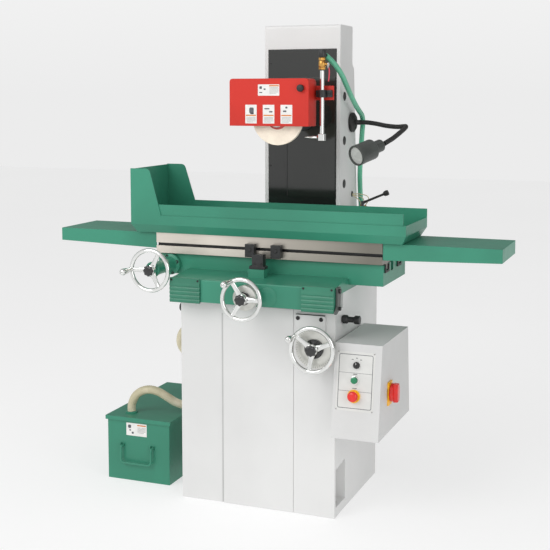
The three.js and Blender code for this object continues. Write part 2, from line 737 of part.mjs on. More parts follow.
// ---------- table, tray and covers ----------
add(
  "worktable",
  cut(
    join(
      box([-TABLE.halfX, TABLE.halfX], [TABLE.front, TABLE.rear], [TABLE.bottom, TABLE.top]),
      box([-TABLE.halfX, TABLE.halfX], TABLE_WAYS.front, [TABLE_WAYS.bottom, TABLE.bottom + 1]),
      box([-TABLE.halfX, TABLE.halfX], TABLE_WAYS.rear, [TABLE_WAYS.bottom, TABLE.bottom + 1]),
      box([-TABLE.padHalfX, TABLE.padHalfX], [PAD.front, PAD.rear], [TABLE.top - 1, PAD.top]),
    ),
    box([-TABLE.halfX - 1, TABLE.halfX + 1], [TABLE.front - 1, TABLE.front + 8], [SLOT.bottom, SLOT.top]),
    box(
      [-TABLE.halfX - 1, TABLE.halfX + 1],
      [TABLE.front + 7, TABLE.front + 15],
      [SLOT.bottom - 5, SLOT.top + 5],
    ),
    box([-TABLE.padHalfX - 1, TABLE.padHalfX + 1], [193, 207], [888, PAD.top + 1]),
    box([-TABLE.padHalfX - 1, TABLE.padHalfX + 1], [188, 212], [TABLE.top + 0.5, 893]),
  ),
  "steel",
);

function splashTray() {
  const { halfX, front, rear, bottom, chamfer, rim, sheet } = TRAY;
  const lean = 16;
  const pan = (inset) =>
    join(
      tapered(
        [
          -halfX + lean + inset, halfX - lean - inset, front + lean + inset, rear - lean - inset,
          bottom + inset,
        ],
        [-halfX + inset, halfX - inset, front + inset, rear - inset, chamfer],
      ),
      box([-halfX + inset, halfX - inset], [front + inset, rear - inset], [chamfer - 0.01, rim + inset]),
    );
  const low = rim - 2;
  const leftFront = [[-halfX, low], [-366, low], [-409, SPLASH.top, 14], [-halfX, SPLASH.top, 2]];
  const leftRear = [
    [-halfX, low], [-360, low], [-370, SPLASH.rearTop], [-411, SPLASH.top, 14], [-halfX, SPLASH.top, 2],
  ];
  return cut(
    join(
      cut(pan(0), pan(sheet)),
      box([-halfX + 1, 470], [front + sheet - 0.1, front + 2 * sheet], [chamfer + 2, SPLASH.frontTop]),
      box([-halfX + 1, halfX], [rear - sheet, rear], [low, SPLASH.rearTop]),
      box([-halfX, -halfX + sheet], [front, rear], [low, SPLASH.top - 2]),
      prism("y", leftFront, front, front + sheet),
      prism("y", leftRear, rear - sheet, rear),
    ),
    box(
      [-TABLE.padHalfX - 0.5, TABLE.padHalfX + 0.5],
      [PAD.front - 0.5, PAD.rear + 0.5],
      [bottom - 1, bottom + 5],
    ),
  );
}
add("splash_tray", splashTray(), "green");

function endCover(side) {
  const { end, front, rear, top, inner, outer } = END_COVER;
  const near = TABLE.halfX + GAP;
  const shell = (inset, lift) => {
    const corners = [
      [near - inset, inner - lift], [near - inset, top - inset], [end - inset, top - inset],
      [end - inset, outer - lift],
    ];
    const flipped = corners.map(([x, z]) => [side * x, z]);
    return prism("y", side > 0 ? flipped.reverse() : flipped, front + inset, rear - inset);
  };
  return cut(shell(0, 0), shell(3, 12));
}
add("left_end_cover", endCover(-1), "green");
add("right_end_cover", endCover(1), "green");

// A trip dog: a block against the table's side, held by a T-headed bolt in the slot.
function tripDog(x0, x1) {
  const middle = (x0 + x1) / 2;
  return join(
    box([x0, x1], [56, TABLE.front - GAP], [821, 864]),
    box([middle - 9, middle + 9], [TABLE.front - 2, TABLE.front + 12], [SLOT.bottom + GAP, SLOT.top - GAP]),
    box([middle - 9, middle + 9], [TABLE.front + 9, TABLE.front + 14], [SLOT.bottom - 4, SLOT.top + 4]),
    rod("y", 5, 53.5, 57, [middle, 846], 12),
  );
}
add("left_trip_dog", tripDog(-62, -30), "black");
add("right_trip_dog", tripDog(28, 62), "black");

// ---------- handwheels ----------
function handwheel({ x, z, wheelY, rimRadius, firstSpoke }) {
  const { tube: rimTube, hub, bore, hubDepth } = HANDWHEEL;
  const rim = solid(
    new THREE.TorusGeometry(rimRadius, rimTube, 6, 28).rotateX(Math.PI / 2).translate(x, wheelY, z),
  );
  const spokes = [0, 1, 2].map((i) => {
    const angle = firstSpoke + (i * 2 * Math.PI) / 3;
    const out = [x + rimRadius * Math.cos(angle), wheelY, z + rimRadius * Math.sin(angle)];
    const root = [x + 8 * Math.cos(angle), wheelY + 7, z + 8 * Math.sin(angle)];
    return turnedBetween(root, out, [[8, 0], [6.5, rimRadius - 10]], 6);
  });
  const centre = turned("y", [x, z], [
    [10, wheelY - 16], [15, wheelY - 14], [15, wheelY - 7], [hub, wheelY - 5],
    [hub + 2, wheelY + hubDepth - 10],
  ], 16);
  return cut(join(rim, ...spokes, centre), rod("y", bore, wheelY - 12, wheelY + hubDepth, [x, z], 16));
}

// The grip turns freely on a pin, so it stays clear of the rim by a small gap.
function crankHandle({ x, z, wheelY, rimRadius, grip }) {
  const at = [x + rimRadius * Math.cos(grip), z + rimRadius * Math.sin(grip)];
  const root = wheelY - HANDWHEEL.tube - GAP;
  return turned("y", at, [
    [7, root - 62], [9.5, root - 60], [11, root - 50], [10, root - 34], [7.5, root - 14], [8.5, root - 3],
    [6, root],
  ], 16);
}

add("long_feed_handwheel", handwheel(LONG_FEED), "chrome");
add("long_feed_handle", crankHandle(LONG_FEED), "chrome");
add("cross_feed_handwheel", handwheel(CROSS_FEED), "chrome");
add("cross_feed_handle", crankHandle(CROSS_FEED), "chrome");
add("down_feed_handwheel", handwheel(DOWN_FEED), "chrome");
add("down_feed_handle", crankHandle(DOWN_FEED), "chrome");

// Each of these shafts carries its graduated dial behind the handwheel.
add(
  "cross_feed_screw",
  turned("y", [CROSS_FEED.x, CROSS_FEED.z], [
    [8, -133], [8, -107], [21, -106.5], [21, -97.5], [38, -97], [40.5, -94], [40.5, -73], [38, -71.5],
    [18, -71],
    [18, -62], [9.4, -61.5], [9.4, 300],
  ], 20),
  "steel",
);
add(
  "down_feed_shaft",
  turned("y", [DOWN_FEED.x, DOWN_FEED.z], [
    [8, -87], [8, -60.5], [31, -60], [31, -51], [63, -50.5], [64.5, -49], [63.5, -45], [60, -38], [16, -37.5],
    [16, -24], [10, -23.5], [10, 425],
  ], 28),
  "steel",
);

// ---------- spindle head ----------
const spindleAxis = [0, SPINDLE.z];
add(
  "spindle_head",
  cut(
    join(
      box(
        [-HEAD_BODY.halfX, HEAD_BODY.halfX],
        [HEAD_BODY.front, HEAD_BODY.rear],
        [HEAD_BODY.bottom, HEAD_BODY.top],
      ),
      rod("y", SPINDLE.noseRadius, SPINDLE.noseFront, HEAD_BODY.front + 1, spindleAxis, 32),
      rod("y", 60, HEAD_BODY.rear - 1, 655, spindleAxis, 28),
    ),
    rod("y", SPINDLE.boreRadius, SPINDLE.noseFront - 1, 656, spindleAxis, 32),
    rod(
      "z",
      ELEVATING_SCREW.radius + 0.4,
      HEAD_BODY.bottom - 6,
      HEAD_BODY.top + 2,
      [ELEVATING_SCREW.x, ELEVATING_SCREW.y],
      24,
    ),
  ),
  "darkSteel",
);

add(
  "spindle_motor",
  cut(
    join(
      turned("y", spindleAxis, [
        [70, 655.3], [SPINDLE.motorRadius, 662], [SPINDLE.motorRadius, 757], [78, 760], [78, 794],
        [68, OVERALL.rear],
      ], 28),
      box([-45, 45], [676, 746], [1342, 1380]),
    ),
    rod("y", 24, 650, 770, spindleAxis, 24),
  ),
  "darkSteel",
);

add(
  "head_slide_plate",
  cut(
    box(
      [SLIDE_PLATE.left, SLIDE_PLATE.right],
      [SLIDE_PLATE.front, COLUMN.front - GAP],
      [SLIDE_PLATE.bottom, SLIDE_PLATE.top],
    ),
    rod("y", SPINDLE.noseRadius + 0.4, 420, 440, spindleAxis, 32),
  ),
  "black",
);

add(
  "spindle_shaft",
  turned("y", spindleAxis, [
    [15.6, 184], [15.6, 204], [30, 204.3], [30, 212], [20, 214], [20, 244], [29.6, 245], [29.6, 285],
    [20, 286],
    [20, 600], [29.6, 601], [29.6, 640], [18, 641], [18, 762],
  ], 20),
  "steel",
);

add(
  "grinding_wheel",
  cut(
    rod("y", WHEEL.radius, WHEEL.y - WHEEL.thickness / 2, WHEEL.y + WHEEL.thickness / 2, spindleAxis, 48),
    rod("y", WHEEL.boreRadius, 180, 210, spindleAxis, 32),
  ),
  "wheel",
);

add(
  "wheel_flange",
  cut(
    turned("y", spindleAxis, [[12, 168], [19, 169], [19, 180], [30, 182], [30, 190.2]], 20),
    rod("y", 16, 176, 191, spindleAxis, 20),
  ),
  "steel",
);

const guardOutline = (inset, bottom) => [
  [GUARD.left + inset, bottom], [GUARD.right - inset, bottom],
  [GUARD.right - inset, GUARD.top - inset, 16 - inset], [GUARD.left + inset, GUARD.top - inset, 12 - inset],
];
add(
  "wheel_guard",
  cut(
    join(
      prism("y", guardOutline(0, GUARD.bottom), GUARD.front + 3.3, GUARD.rear),
      box([GUARD.right - 2, 184], [GUARD.rear - 4, GUARD.rear], [1333, 1380]),
    ),
    prism("y", guardOutline(GUARD.wall, GUARD.bottom - 5), GUARD.front - 1, GUARD.rear - 4),
    rod("y", SPINDLE.noseRadius + 0.4, GUARD.rear - 6, GUARD.rear + 1, spindleAxis, 32),
    box([-31, 31], [GUARD.rear - 6, GUARD.rear + 1], [GUARD.bottom - 5, SPINDLE.z - 20]),
  ),
  "red",
);
add(
  "guard_door",
  join(
    prism("y", guardOutline(0, GUARD.bottom), GUARD.front, GUARD.front + 3),
    turned("y", [95, 1372], [[8, GUARD.front - 12], [10, GUARD.front - 10], [9, GUARD.front + 1]], 20),
  ),
  "red",
);

add(
  "pipe_clamp",
  cut(
    join(
      box([124, 181], [221, GUARD.rear - 4 - GAP], [1342, 1366]),
      rod("z", 14, 1341, 1367, [PIPE.x, PIPE.y], 24),
    ),
    rod("z", PIPE.radius + GAP, 1330, 1380, [PIPE.x, PIPE.y], 24),
  ),
  "black",
);

add(
  "coolant_pipe",
  turned(
    "z",
    [PIPE.x, PIPE.y],
    [
      [PIPE.radius - 2, PIPE.bottom - 12], [PIPE.radius - 2, PIPE.bottom], [PIPE.radius, PIPE.bottom + GAP],
      [PIPE.radius, PIPE.top],
    ],
    20,
  ),
  "chrome",
);
add(
  "coolant_nozzle",
  cut(
    join(
      box([PIPE.x - 11, PIPE.x + 11], [PIPE.y - 11, PIPE.y + 11], [1199, PIPE.bottom]),
      turned("x", [PIPE.y, 1210], [[1.6, 89], [4.5, 112], [6, 116], [6, PIPE.x - 5]], 16),
    ),
    rod("z", PIPE.radius - 1.7, PIPE.bottom - 13, PIPE.bottom + 1, [PIPE.x, PIPE.y], 20),
  ),
  "chrome",
);

add(
  "coolant_valve",
  join(
    turned("z", [PIPE.x, PIPE.y], [
      [9, PIPE.top + GAP], [11, 1433], [11, 1440], [12.5, 1442], [12.5, 1460], [10, 1463], [10, 1474],
      [12, 1475], [12, 1497], [8, 1500],
    ], 14),
    rod("x", 6, PIPE.x + 5, 168, [PIPE.y, 1450], 16),
    turnedBetween(
      [PIPE.x, PIPE.y, 1489],
      [PIPE.x + 6.3, PIPE.y + 16.4, 1479.5],
      [[8, 0], [8, 12], [6, 14], [6, 20]],
      16,
    ),
  ),
  "brass",
);
add(
  "valve_lever",
  join(
    prism("x", [[210, 1392, 3], [220, 1392, 3], [221, 1458, 4], [209, 1458, 4]], 169, 172),
    rod("x", 5, 168 + GAP, 175, [PIPE.y, 1450], 12),
  ),
  "red",
);

// ---------- hoses ----------
// Coolant: from the elbow on the valve, past the lamp, down beside the column and round its back to the pump.
const COOLANT_ROUTE = [
  [155.5, 231.9, 1479.2], [160.5, 245, 1471.5], [167.5, 266, 1459], [174, 298, 1440], [178.5, 340, 1413],
  [179.5, 405, 1367], [179.5, 480, 1320], [180, 535, 1292], [180, 567, 1276], [178, 585, 1250],
  [173, 593, 1214],
  [166, 604, 1150], [159, 616, 1068], [156, 632, 996], [157, 648, 920], [163, 668, 840], [172, 692, 760],
  [172, 712, 690], [156, 728, 610], [118, 738, 530], [56, 742, 455], [-24, 742, 392], [-100, 732, 346],
  [-178, 694, 314], [-240, 618, 290], [-280, 546, 272], [-312, 498, 259], [-340, 482, 254.4],
  [-354, 480, 254],
  [-365.6, 480, 254],
];
add("coolant_hose", tube(COOLANT_ROUTE, HOSE.coolantRadius, 8, 52), "hose");

// Drain: from the spigot under the saddle down beside the base, then over in an arch to the tank's lid.
const DRAIN_ROUTE = [
  [...DRAIN_SPIGOT, 723.7], [-310, 240, 700], [-307, 224, 662], [-302, 186, 622], [-302, 152, 586],
  [-313, 132, 552],
  [-328, 127, 530], [-333, 126, 507], [-328, 128, 484], [-313, 136, 458], [-302, 156, 425], [-298, 182, 385],
  [-300, 203, 340], [-309, 214, 300], [-326, 212, 268], [-352, 200, 255], [-379, 178, 268], [-403, 158, 290],
  [-431, 146, 309], [-462, 139, 316], [-493, 136, 308], [-518, 136, 288], [-531, 136, 262], [-534, 136, 247],
  [...DRAIN_INLET, 233.5],
];
add("drain_hose", tube(DRAIN_ROUTE, HOSE.drainRadius, 12, 34), "cream");

export default grinder;
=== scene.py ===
from math import cos, hypot, pi, radians, sin

import bmesh
import bpy
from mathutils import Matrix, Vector


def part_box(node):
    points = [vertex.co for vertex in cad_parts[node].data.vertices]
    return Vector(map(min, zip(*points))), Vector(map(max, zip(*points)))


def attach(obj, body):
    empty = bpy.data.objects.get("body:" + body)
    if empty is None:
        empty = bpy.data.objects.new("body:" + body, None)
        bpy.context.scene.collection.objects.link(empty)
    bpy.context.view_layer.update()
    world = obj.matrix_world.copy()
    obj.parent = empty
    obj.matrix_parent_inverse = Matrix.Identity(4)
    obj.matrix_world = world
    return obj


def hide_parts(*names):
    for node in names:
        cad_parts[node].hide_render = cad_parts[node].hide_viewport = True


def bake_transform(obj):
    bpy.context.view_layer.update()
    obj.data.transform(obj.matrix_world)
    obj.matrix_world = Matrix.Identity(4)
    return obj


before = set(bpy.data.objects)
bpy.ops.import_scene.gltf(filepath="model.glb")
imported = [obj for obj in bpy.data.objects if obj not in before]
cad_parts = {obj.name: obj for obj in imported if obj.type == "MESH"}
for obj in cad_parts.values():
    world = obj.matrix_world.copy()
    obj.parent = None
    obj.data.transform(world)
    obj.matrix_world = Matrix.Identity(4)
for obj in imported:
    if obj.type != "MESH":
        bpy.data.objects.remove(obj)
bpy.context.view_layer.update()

SCENE = bpy.context.scene
MM = 0.001

# Lengths below are millimetres from the machine's own datum: y = 0 is the base's front face,
# x = 0 its centre plane and z = 0 the floor. at() turns them into the frame's metres.
BASE_LOW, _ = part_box("base_casting")
DATUM = Vector((0, BASE_LOW.y, 0))
X, Y, Z = Vector((1, 0, 0)), Vector((0, 1, 0)), Vector((0, 0, 1))
SMOOTH_ANGLE = radians(34)
CARRIED_ANGLE = radians(24)


def at(point):
    """A point in millimetres from the machine's datum, in the frame's metres."""
    return Vector(point) * MM + DATUM


def turns(count):
    """That many angles, evenly spaced round a full turn."""
    return [2 * pi * i / count for i in range(count)]


# ---------- camera ----------
CAMERA_DOWN, CAMERA_TURN = 5.926, 21.326
camera_data = bpy.data.cameras.new("camera")
camera_data.lens = 71.99
camera_data.shift_y = -0.12
camera = bpy.data.objects.new("camera", camera_data)
SCENE.collection.objects.link(camera)
camera.location = at((1329.1, -3234.7, 1350.2))
camera.rotation_euler = (radians(90 - CAMERA_DOWN), 0, radians(CAMERA_TURN))
camera_data.clip_end = 60
SCENE.camera = camera


# ---------- shapes ----------
# A shape is (vertices, faces), its vertices in metres in the frame.
def across(way):
    """Two directions square to way and to each other."""
    side = way.cross(Z if abs(way.z) < 0.9 else X).normalized()
    return side, way.cross(side).normalized()


def rings_to_shape(rings, closed=False):
    """Joins rings of points, each one point or the same number of points."""
    vertices, starts = [], []
    for ring in rings:
        starts.append(len(vertices))
        vertices.extend(ring)
    faces = []
    pairs = list(zip(range(len(rings)), range(1, len(rings))))
    if closed:
        pairs.append((len(rings) - 1, 0))
    for low, high in pairs:
        count = max(len(rings[low]), len(rings[high]))
        for i in range(count):
            j = (i + 1) % count
            corners = []
            for ring, k in ((low, i), (low, j), (high, j), (high, i)):
                corner = starts[ring] + (k if len(rings[ring]) > 1 else 0)
                if corner not in corners:
                    corners.append(corner)
            faces.append(corners)
    if not closed:
        for ring, flip in ((0, True), (len(rings) - 1, False)):
            if len(rings[ring]) > 1:
                cap = [starts[ring] + i for i in range(len(rings[ring]))]
                faces.append(cap[::-1] if flip else cap)
    return vertices, faces


def lathe(start, way, profile, sides=48, lobes=(0, 0.0)):
    """A solid of revolution about a line from start along way. The profile is [(radius, distance)]."""
    start, way = at(start), Vector(way).normalized()
    right, up = across(way)
    count, depth = lobes
    rings = []
    for radius, along in profile:
        centre = start + way * along * MM
        if radius == 0:
            rings.append([centre])
            continue
        ring = []
        for turn in turns(sides):
            reach = radius * MM * (1 + depth * cos(count * turn))
            ring.append(centre + (right * cos(turn) + up * sin(turn)) * reach)
        rings.append(ring)
    return rings_to_shape(rings)


def smooth_path(points, step):
    """Points a step apart, in millimetres, on the uniform Catmull-Rom curve through the given points."""
    points = [Vector(p) for p in points]
    points = [points[0] * 2 - points[1], *points, points[-1] * 2 - points[-2]]
    fine, parts = [], 16
    for a, b, c, d in zip(points, points[1:], points[2:], points[3:]):
        for i in range(parts):
            t = i / parts
            fine.append(0.5 * (2 * b + (c - a) * t + (2 * a - 5 * b + 4 * c - d) * t**2
                               + (3 * b - a - 3 * c + d) * t**3))
    fine.append(points[-2])
    lengths = [0.0]
    for a, b in zip(fine, fine[1:]):
        lengths.append(lengths[-1] + (b - a).length)
    count = max(2, round(lengths[-1] / step))
    path, k = [], 0
    for i in range(count + 1):
        want = lengths[-1] * i / count
        while k < len(fine) - 2 and lengths[k + 1] < want:
            k += 1
        share = (want - lengths[k]) / (lengths[k + 1] - lengths[k])
        path.append(fine[k].lerp(fine[k + 1], share))
    return path


def tube(path, radius, sides=20, swell=None):
    """A tube along a path in millimetres. swell gives the radius's change at a distance along it."""
    points = [at(p) for p in path]
    way = (points[1] - points[0]).normalized()
    side, _ = across(way)
    rings, run = [], 0.0
    for i, point in enumerate(points):
        ahead = points[min(i + 1, len(points) - 1)] - points[max(i - 1, 0)]
        ahead.normalize()
        side = (side - ahead * side.dot(ahead)).normalized()
        other = ahead.cross(side)
        if i:
            run += (point - points[i - 1]).length / MM
        reach = (radius + (swell(run) if swell else 0)) * MM
        rings.append([point + (side * cos(a) + other * sin(a)) * reach for a in turns(sides)])
    return rings_to_shape(rings)


def ring_tube(centre, axis, radius, thickness, sides=96, section=20):
    """A round ring, such as a handwheel's rim."""
    centre, axis = at(centre), Vector(axis).normalized()
    right, up = across(axis)
    rings = []
    for turn in turns(sides):
        out = right * cos(turn) + up * sin(turn)
        middle = centre + out * radius * MM
        rings.append([middle + (out * cos(a) + axis * sin(a)) * thickness * MM for a in turns(section)])
    return rings_to_shape(rings, closed=True)


def rounded_outline(width, height, corner, steps=5):
    """Points of a rectangle with round corners about the origin."""
    if corner == 0:
        return [(sx * width / 2, sy * height / 2) for sx, sy in ((-1, -1), (1, -1), (1, 1), (-1, 1))]
    points = []
    for sx, sy, first in ((1, -1, -90), (1, 1, 0), (-1, 1, 90), (-1, -1, 180)):
        for i in range(steps + 1):
            turn = radians(first + 90 * i / steps)
            points.append((sx * (width / 2 - corner) + corner * cos(turn),
                           sy * (height / 2 - corner) + corner * sin(turn)))
    return points


def slab(centre, right, up, outline, layers):
    """An outline in the plane of right and up, carried outwards. layers is [(distance, inset)]."""
    centre, right, up = at(centre), Vector(right).normalized(), Vector(up).normalized()
    out = right.cross(up)
    rings = []
    for along, inset in layers:
        ring = []
        for a, b in outline:
            length = hypot(a, b) or 1
            ring.append(centre + (right * (a - inset * a / length) + up * (b - inset * b / length)
                                  + out * along) * MM)
        rings.append(ring)
    return rings_to_shape(rings)


def plate(centre, right, up, width, height, thickness, corner=0.0, edge=0.3):
    """A rounded rectangle with a chamfered face."""
    outline = rounded_outline(width, height, corner)
    return slab(centre, right, up, outline, [(0, 0), (thickness - edge, 0), (thickness, edge)])


def frame_line(centre, right, up, width, height, line, thickness, corner):
    """A rounded rectangle drawn as a narrow raised line."""
    centre, right, up = at(centre), Vector(right).normalized(), Vector(up).normalized()
    out = right.cross(up)
    outer = rounded_outline(width, height, corner)
    inner = rounded_outline(width - 2 * line, height - 2 * line, max(corner - line, 0.1))
    rings = []
    for (a, b), (c, d) in zip(outer, inner):
        rings.append([centre + (right * p + up * q + out * h) * MM
                      for p, q, h in ((a, b, 0), (a, b, thickness), (c, d, thickness), (c, d, 0))])
    return rings_to_shape(rings, closed=True)


CHAMFER = 0.12  # of a screw's or a nut's radius


def socket_screw(head, way, radius, height, sides=24):
    """The head of a socket screw: a chamfered cylinder with a hexagon sunk in it."""
    head, way = at(head), Vector(way).normalized()
    right, up = across(way)
    hexagon, edge, sunk = radius * 0.5, radius * CHAMFER, height * 0.45

    def ring(reach, along, six=False):
        points = []
        for turn in turns(sides):
            r = reach / cos(turn % (pi / 3) - pi / 6) if six else reach
            points.append(head + (right * cos(turn) + up * sin(turn)) * r * MM + way * along * MM)
        return points

    return rings_to_shape([ring(radius, 0), ring(radius, height - edge), ring(radius - edge, height),
                           ring(hexagon, height, True), ring(hexagon, sunk, True)])


def hex_nut(start, way, radius, height):
    """A hexagonal nut that stands on start along way."""
    outline = [(radius * cos(turn), radius * sin(turn)) for turn in turns(6)]
    edge = radius * CHAMFER
    way = Vector(way).normalized()
    right, up = across(way)
    if right.cross(up).dot(way) < 0:
        right, up = up, right
    return slab(start, right, up, outline, [(0, 0), (height - edge, 0), (height, edge)])


def block(low, high):
    """A plain block between two corners."""
    (x0, y0, z0), (x1, y1, z1) = low, high
    ring = [(x0, y0), (x1, y0), (x1, y1), (x0, y1)]
    return rings_to_shape([[at((x, y, z)) for x, y in ring] for z in (z0, z1)])


# ---------- looks ----------
def linear(level):
    """An sRGB level of 0 to 255 as linear light."""
    level /= 255
    return level / 12.92 if level <= 0.04045 else ((level + 0.055) / 1.055) ** 2.4


def rgb(red, green, blue):
    return (linear(red), linear(green), linear(blue), 1)


COAT_ROUGHNESS = 0.12
TONE_DETAIL, GLOSS_DETAIL = 5.0, 3.0
TONE_SHARE = (0.4, 0.62)  # where the noise starts and stops turning the dark tone into the light one
GLOSS_FINENESS = 6  # times the scale of the colour variation


def look(name, colour, roughness, tone, tone_scale, grain, bump, metallic=0.0, bump_depth=0.0004, spread=0.06,
         stretch=(1, 1, 1), second=None, coat=0.0, specular=0.5, grain_detail=3.0):
    """A procedural material: broad colour variation, a fine grain in the surface and uneven gloss."""
    material = bpy.data.materials.new(name)
    material.use_nodes = True
    nodes, links = material.node_tree.nodes, material.node_tree.links
    shader = nodes["Principled BSDF"]
    shader.inputs["Metallic"].default_value = metallic
    shader.inputs["Coat Weight"].default_value = coat
    shader.inputs["Coat Roughness"].default_value = COAT_ROUGHNESS
    shader.inputs["Specular IOR Level"].default_value = specular
    place = nodes.new("ShaderNodeTexCoord")
    mapping = nodes.new("ShaderNodeMapping")
    mapping.inputs["Scale"].default_value = stretch
    links.new(place.outputs["Object"], mapping.inputs["Vector"])

    def noise(scale, detail):
        texture = nodes.new("ShaderNodeTexNoise")
        texture.inputs["Scale"].default_value = scale
        texture.inputs["Detail"].default_value = detail
        links.new(mapping.outputs["Vector"], texture.inputs["Vector"])
        return texture.outputs["Fac"]

    ramp = nodes.new("ShaderNodeValToRGB")
    dark = second or tuple(c * (1 - tone) for c in colour[:3]) + (1,)
    light = tuple(min(1, c * (1 + tone * 0.5)) for c in colour[:3]) + (1,)
    ramp.color_ramp.elements[0].position, ramp.color_ramp.elements[0].color = TONE_SHARE[0], dark
    ramp.color_ramp.elements[1].position, ramp.color_ramp.elements[1].color = TONE_SHARE[1], light
    links.new(noise(tone_scale, TONE_DETAIL), ramp.inputs["Fac"])
    links.new(ramp.outputs["Color"], shader.inputs["Base Color"])

    gloss = map_range(nodes, links, noise(tone_scale * GLOSS_FINENESS, GLOSS_DETAIL),
                      to_range=(max(0.02, roughness - spread), min(1, roughness + spread)))
    links.new(gloss, shader.inputs["Roughness"])

    relief = nodes.new("ShaderNodeBump")
    relief.inputs["Strength"].default_value = bump
    relief.inputs["Distance"].default_value = bump_depth
    links.new(noise(grain, grain_detail), relief.inputs["Height"])
    links.new(relief.outputs["Normal"], shader.inputs["Normal"])
    return material


def blended(material, colour, share):
    """Mixes another colour into a look. share(nodes, links, place) makes the socket that says how much."""
    nodes, links = material.node_tree.nodes, material.node_tree.links
    shader = nodes["Principled BSDF"]
    base = shader.inputs["Base Color"].links[0].from_socket
    place = next(n for n in nodes if n.type == "TEX_COORD").outputs["Object"]
    mix = nodes.new("ShaderNodeMix")
    mix.data_type = "RGBA"
    mix.inputs["B"].default_value = colour
    links.new(base, mix.inputs["A"])
    links.new(share(nodes, links, place), mix.inputs["Factor"])
    links.new(mix.outputs["Result"], shader.inputs["Base Color"])
    return material


def map_range(nodes, links, value, from_range=(0, 1), to_range=(0, 1)):
    """A node that leads a socket's value from one range over to another."""
    node = nodes.new("ShaderNodeMapRange")
    node.inputs["From Min"].default_value, node.inputs["From Max"].default_value = from_range
    node.inputs["To Min"].default_value, node.inputs["To Max"].default_value = to_range
    links.new(value, node.inputs["Value"])
    return node.outputs["Result"]


def speckled(material, colour, scale, amount):
    """Adds fine grains of another colour to a look."""
    core, rim = 0.12, 0.32

    def share(nodes, links, place):
        grains = nodes.new("ShaderNodeTexVoronoi")
        grains.inputs["Scale"].default_value = scale
        links.new(place, grains.inputs["Vector"])
        return map_range(nodes, links, grains.outputs["Distance"], (core, rim), (amount, 0))

    return blended(material, colour, share)


def graded(material, colour, start, end):
    """Leads a look over to another colour along the frame's X."""
    def share(nodes, links, place):
        split = nodes.new("ShaderNodeSeparateXYZ")
        links.new(place, split.inputs["Vector"])
        return map_range(nodes, links, split.outputs["X"], (start, end))

    return blended(material, colour, share)


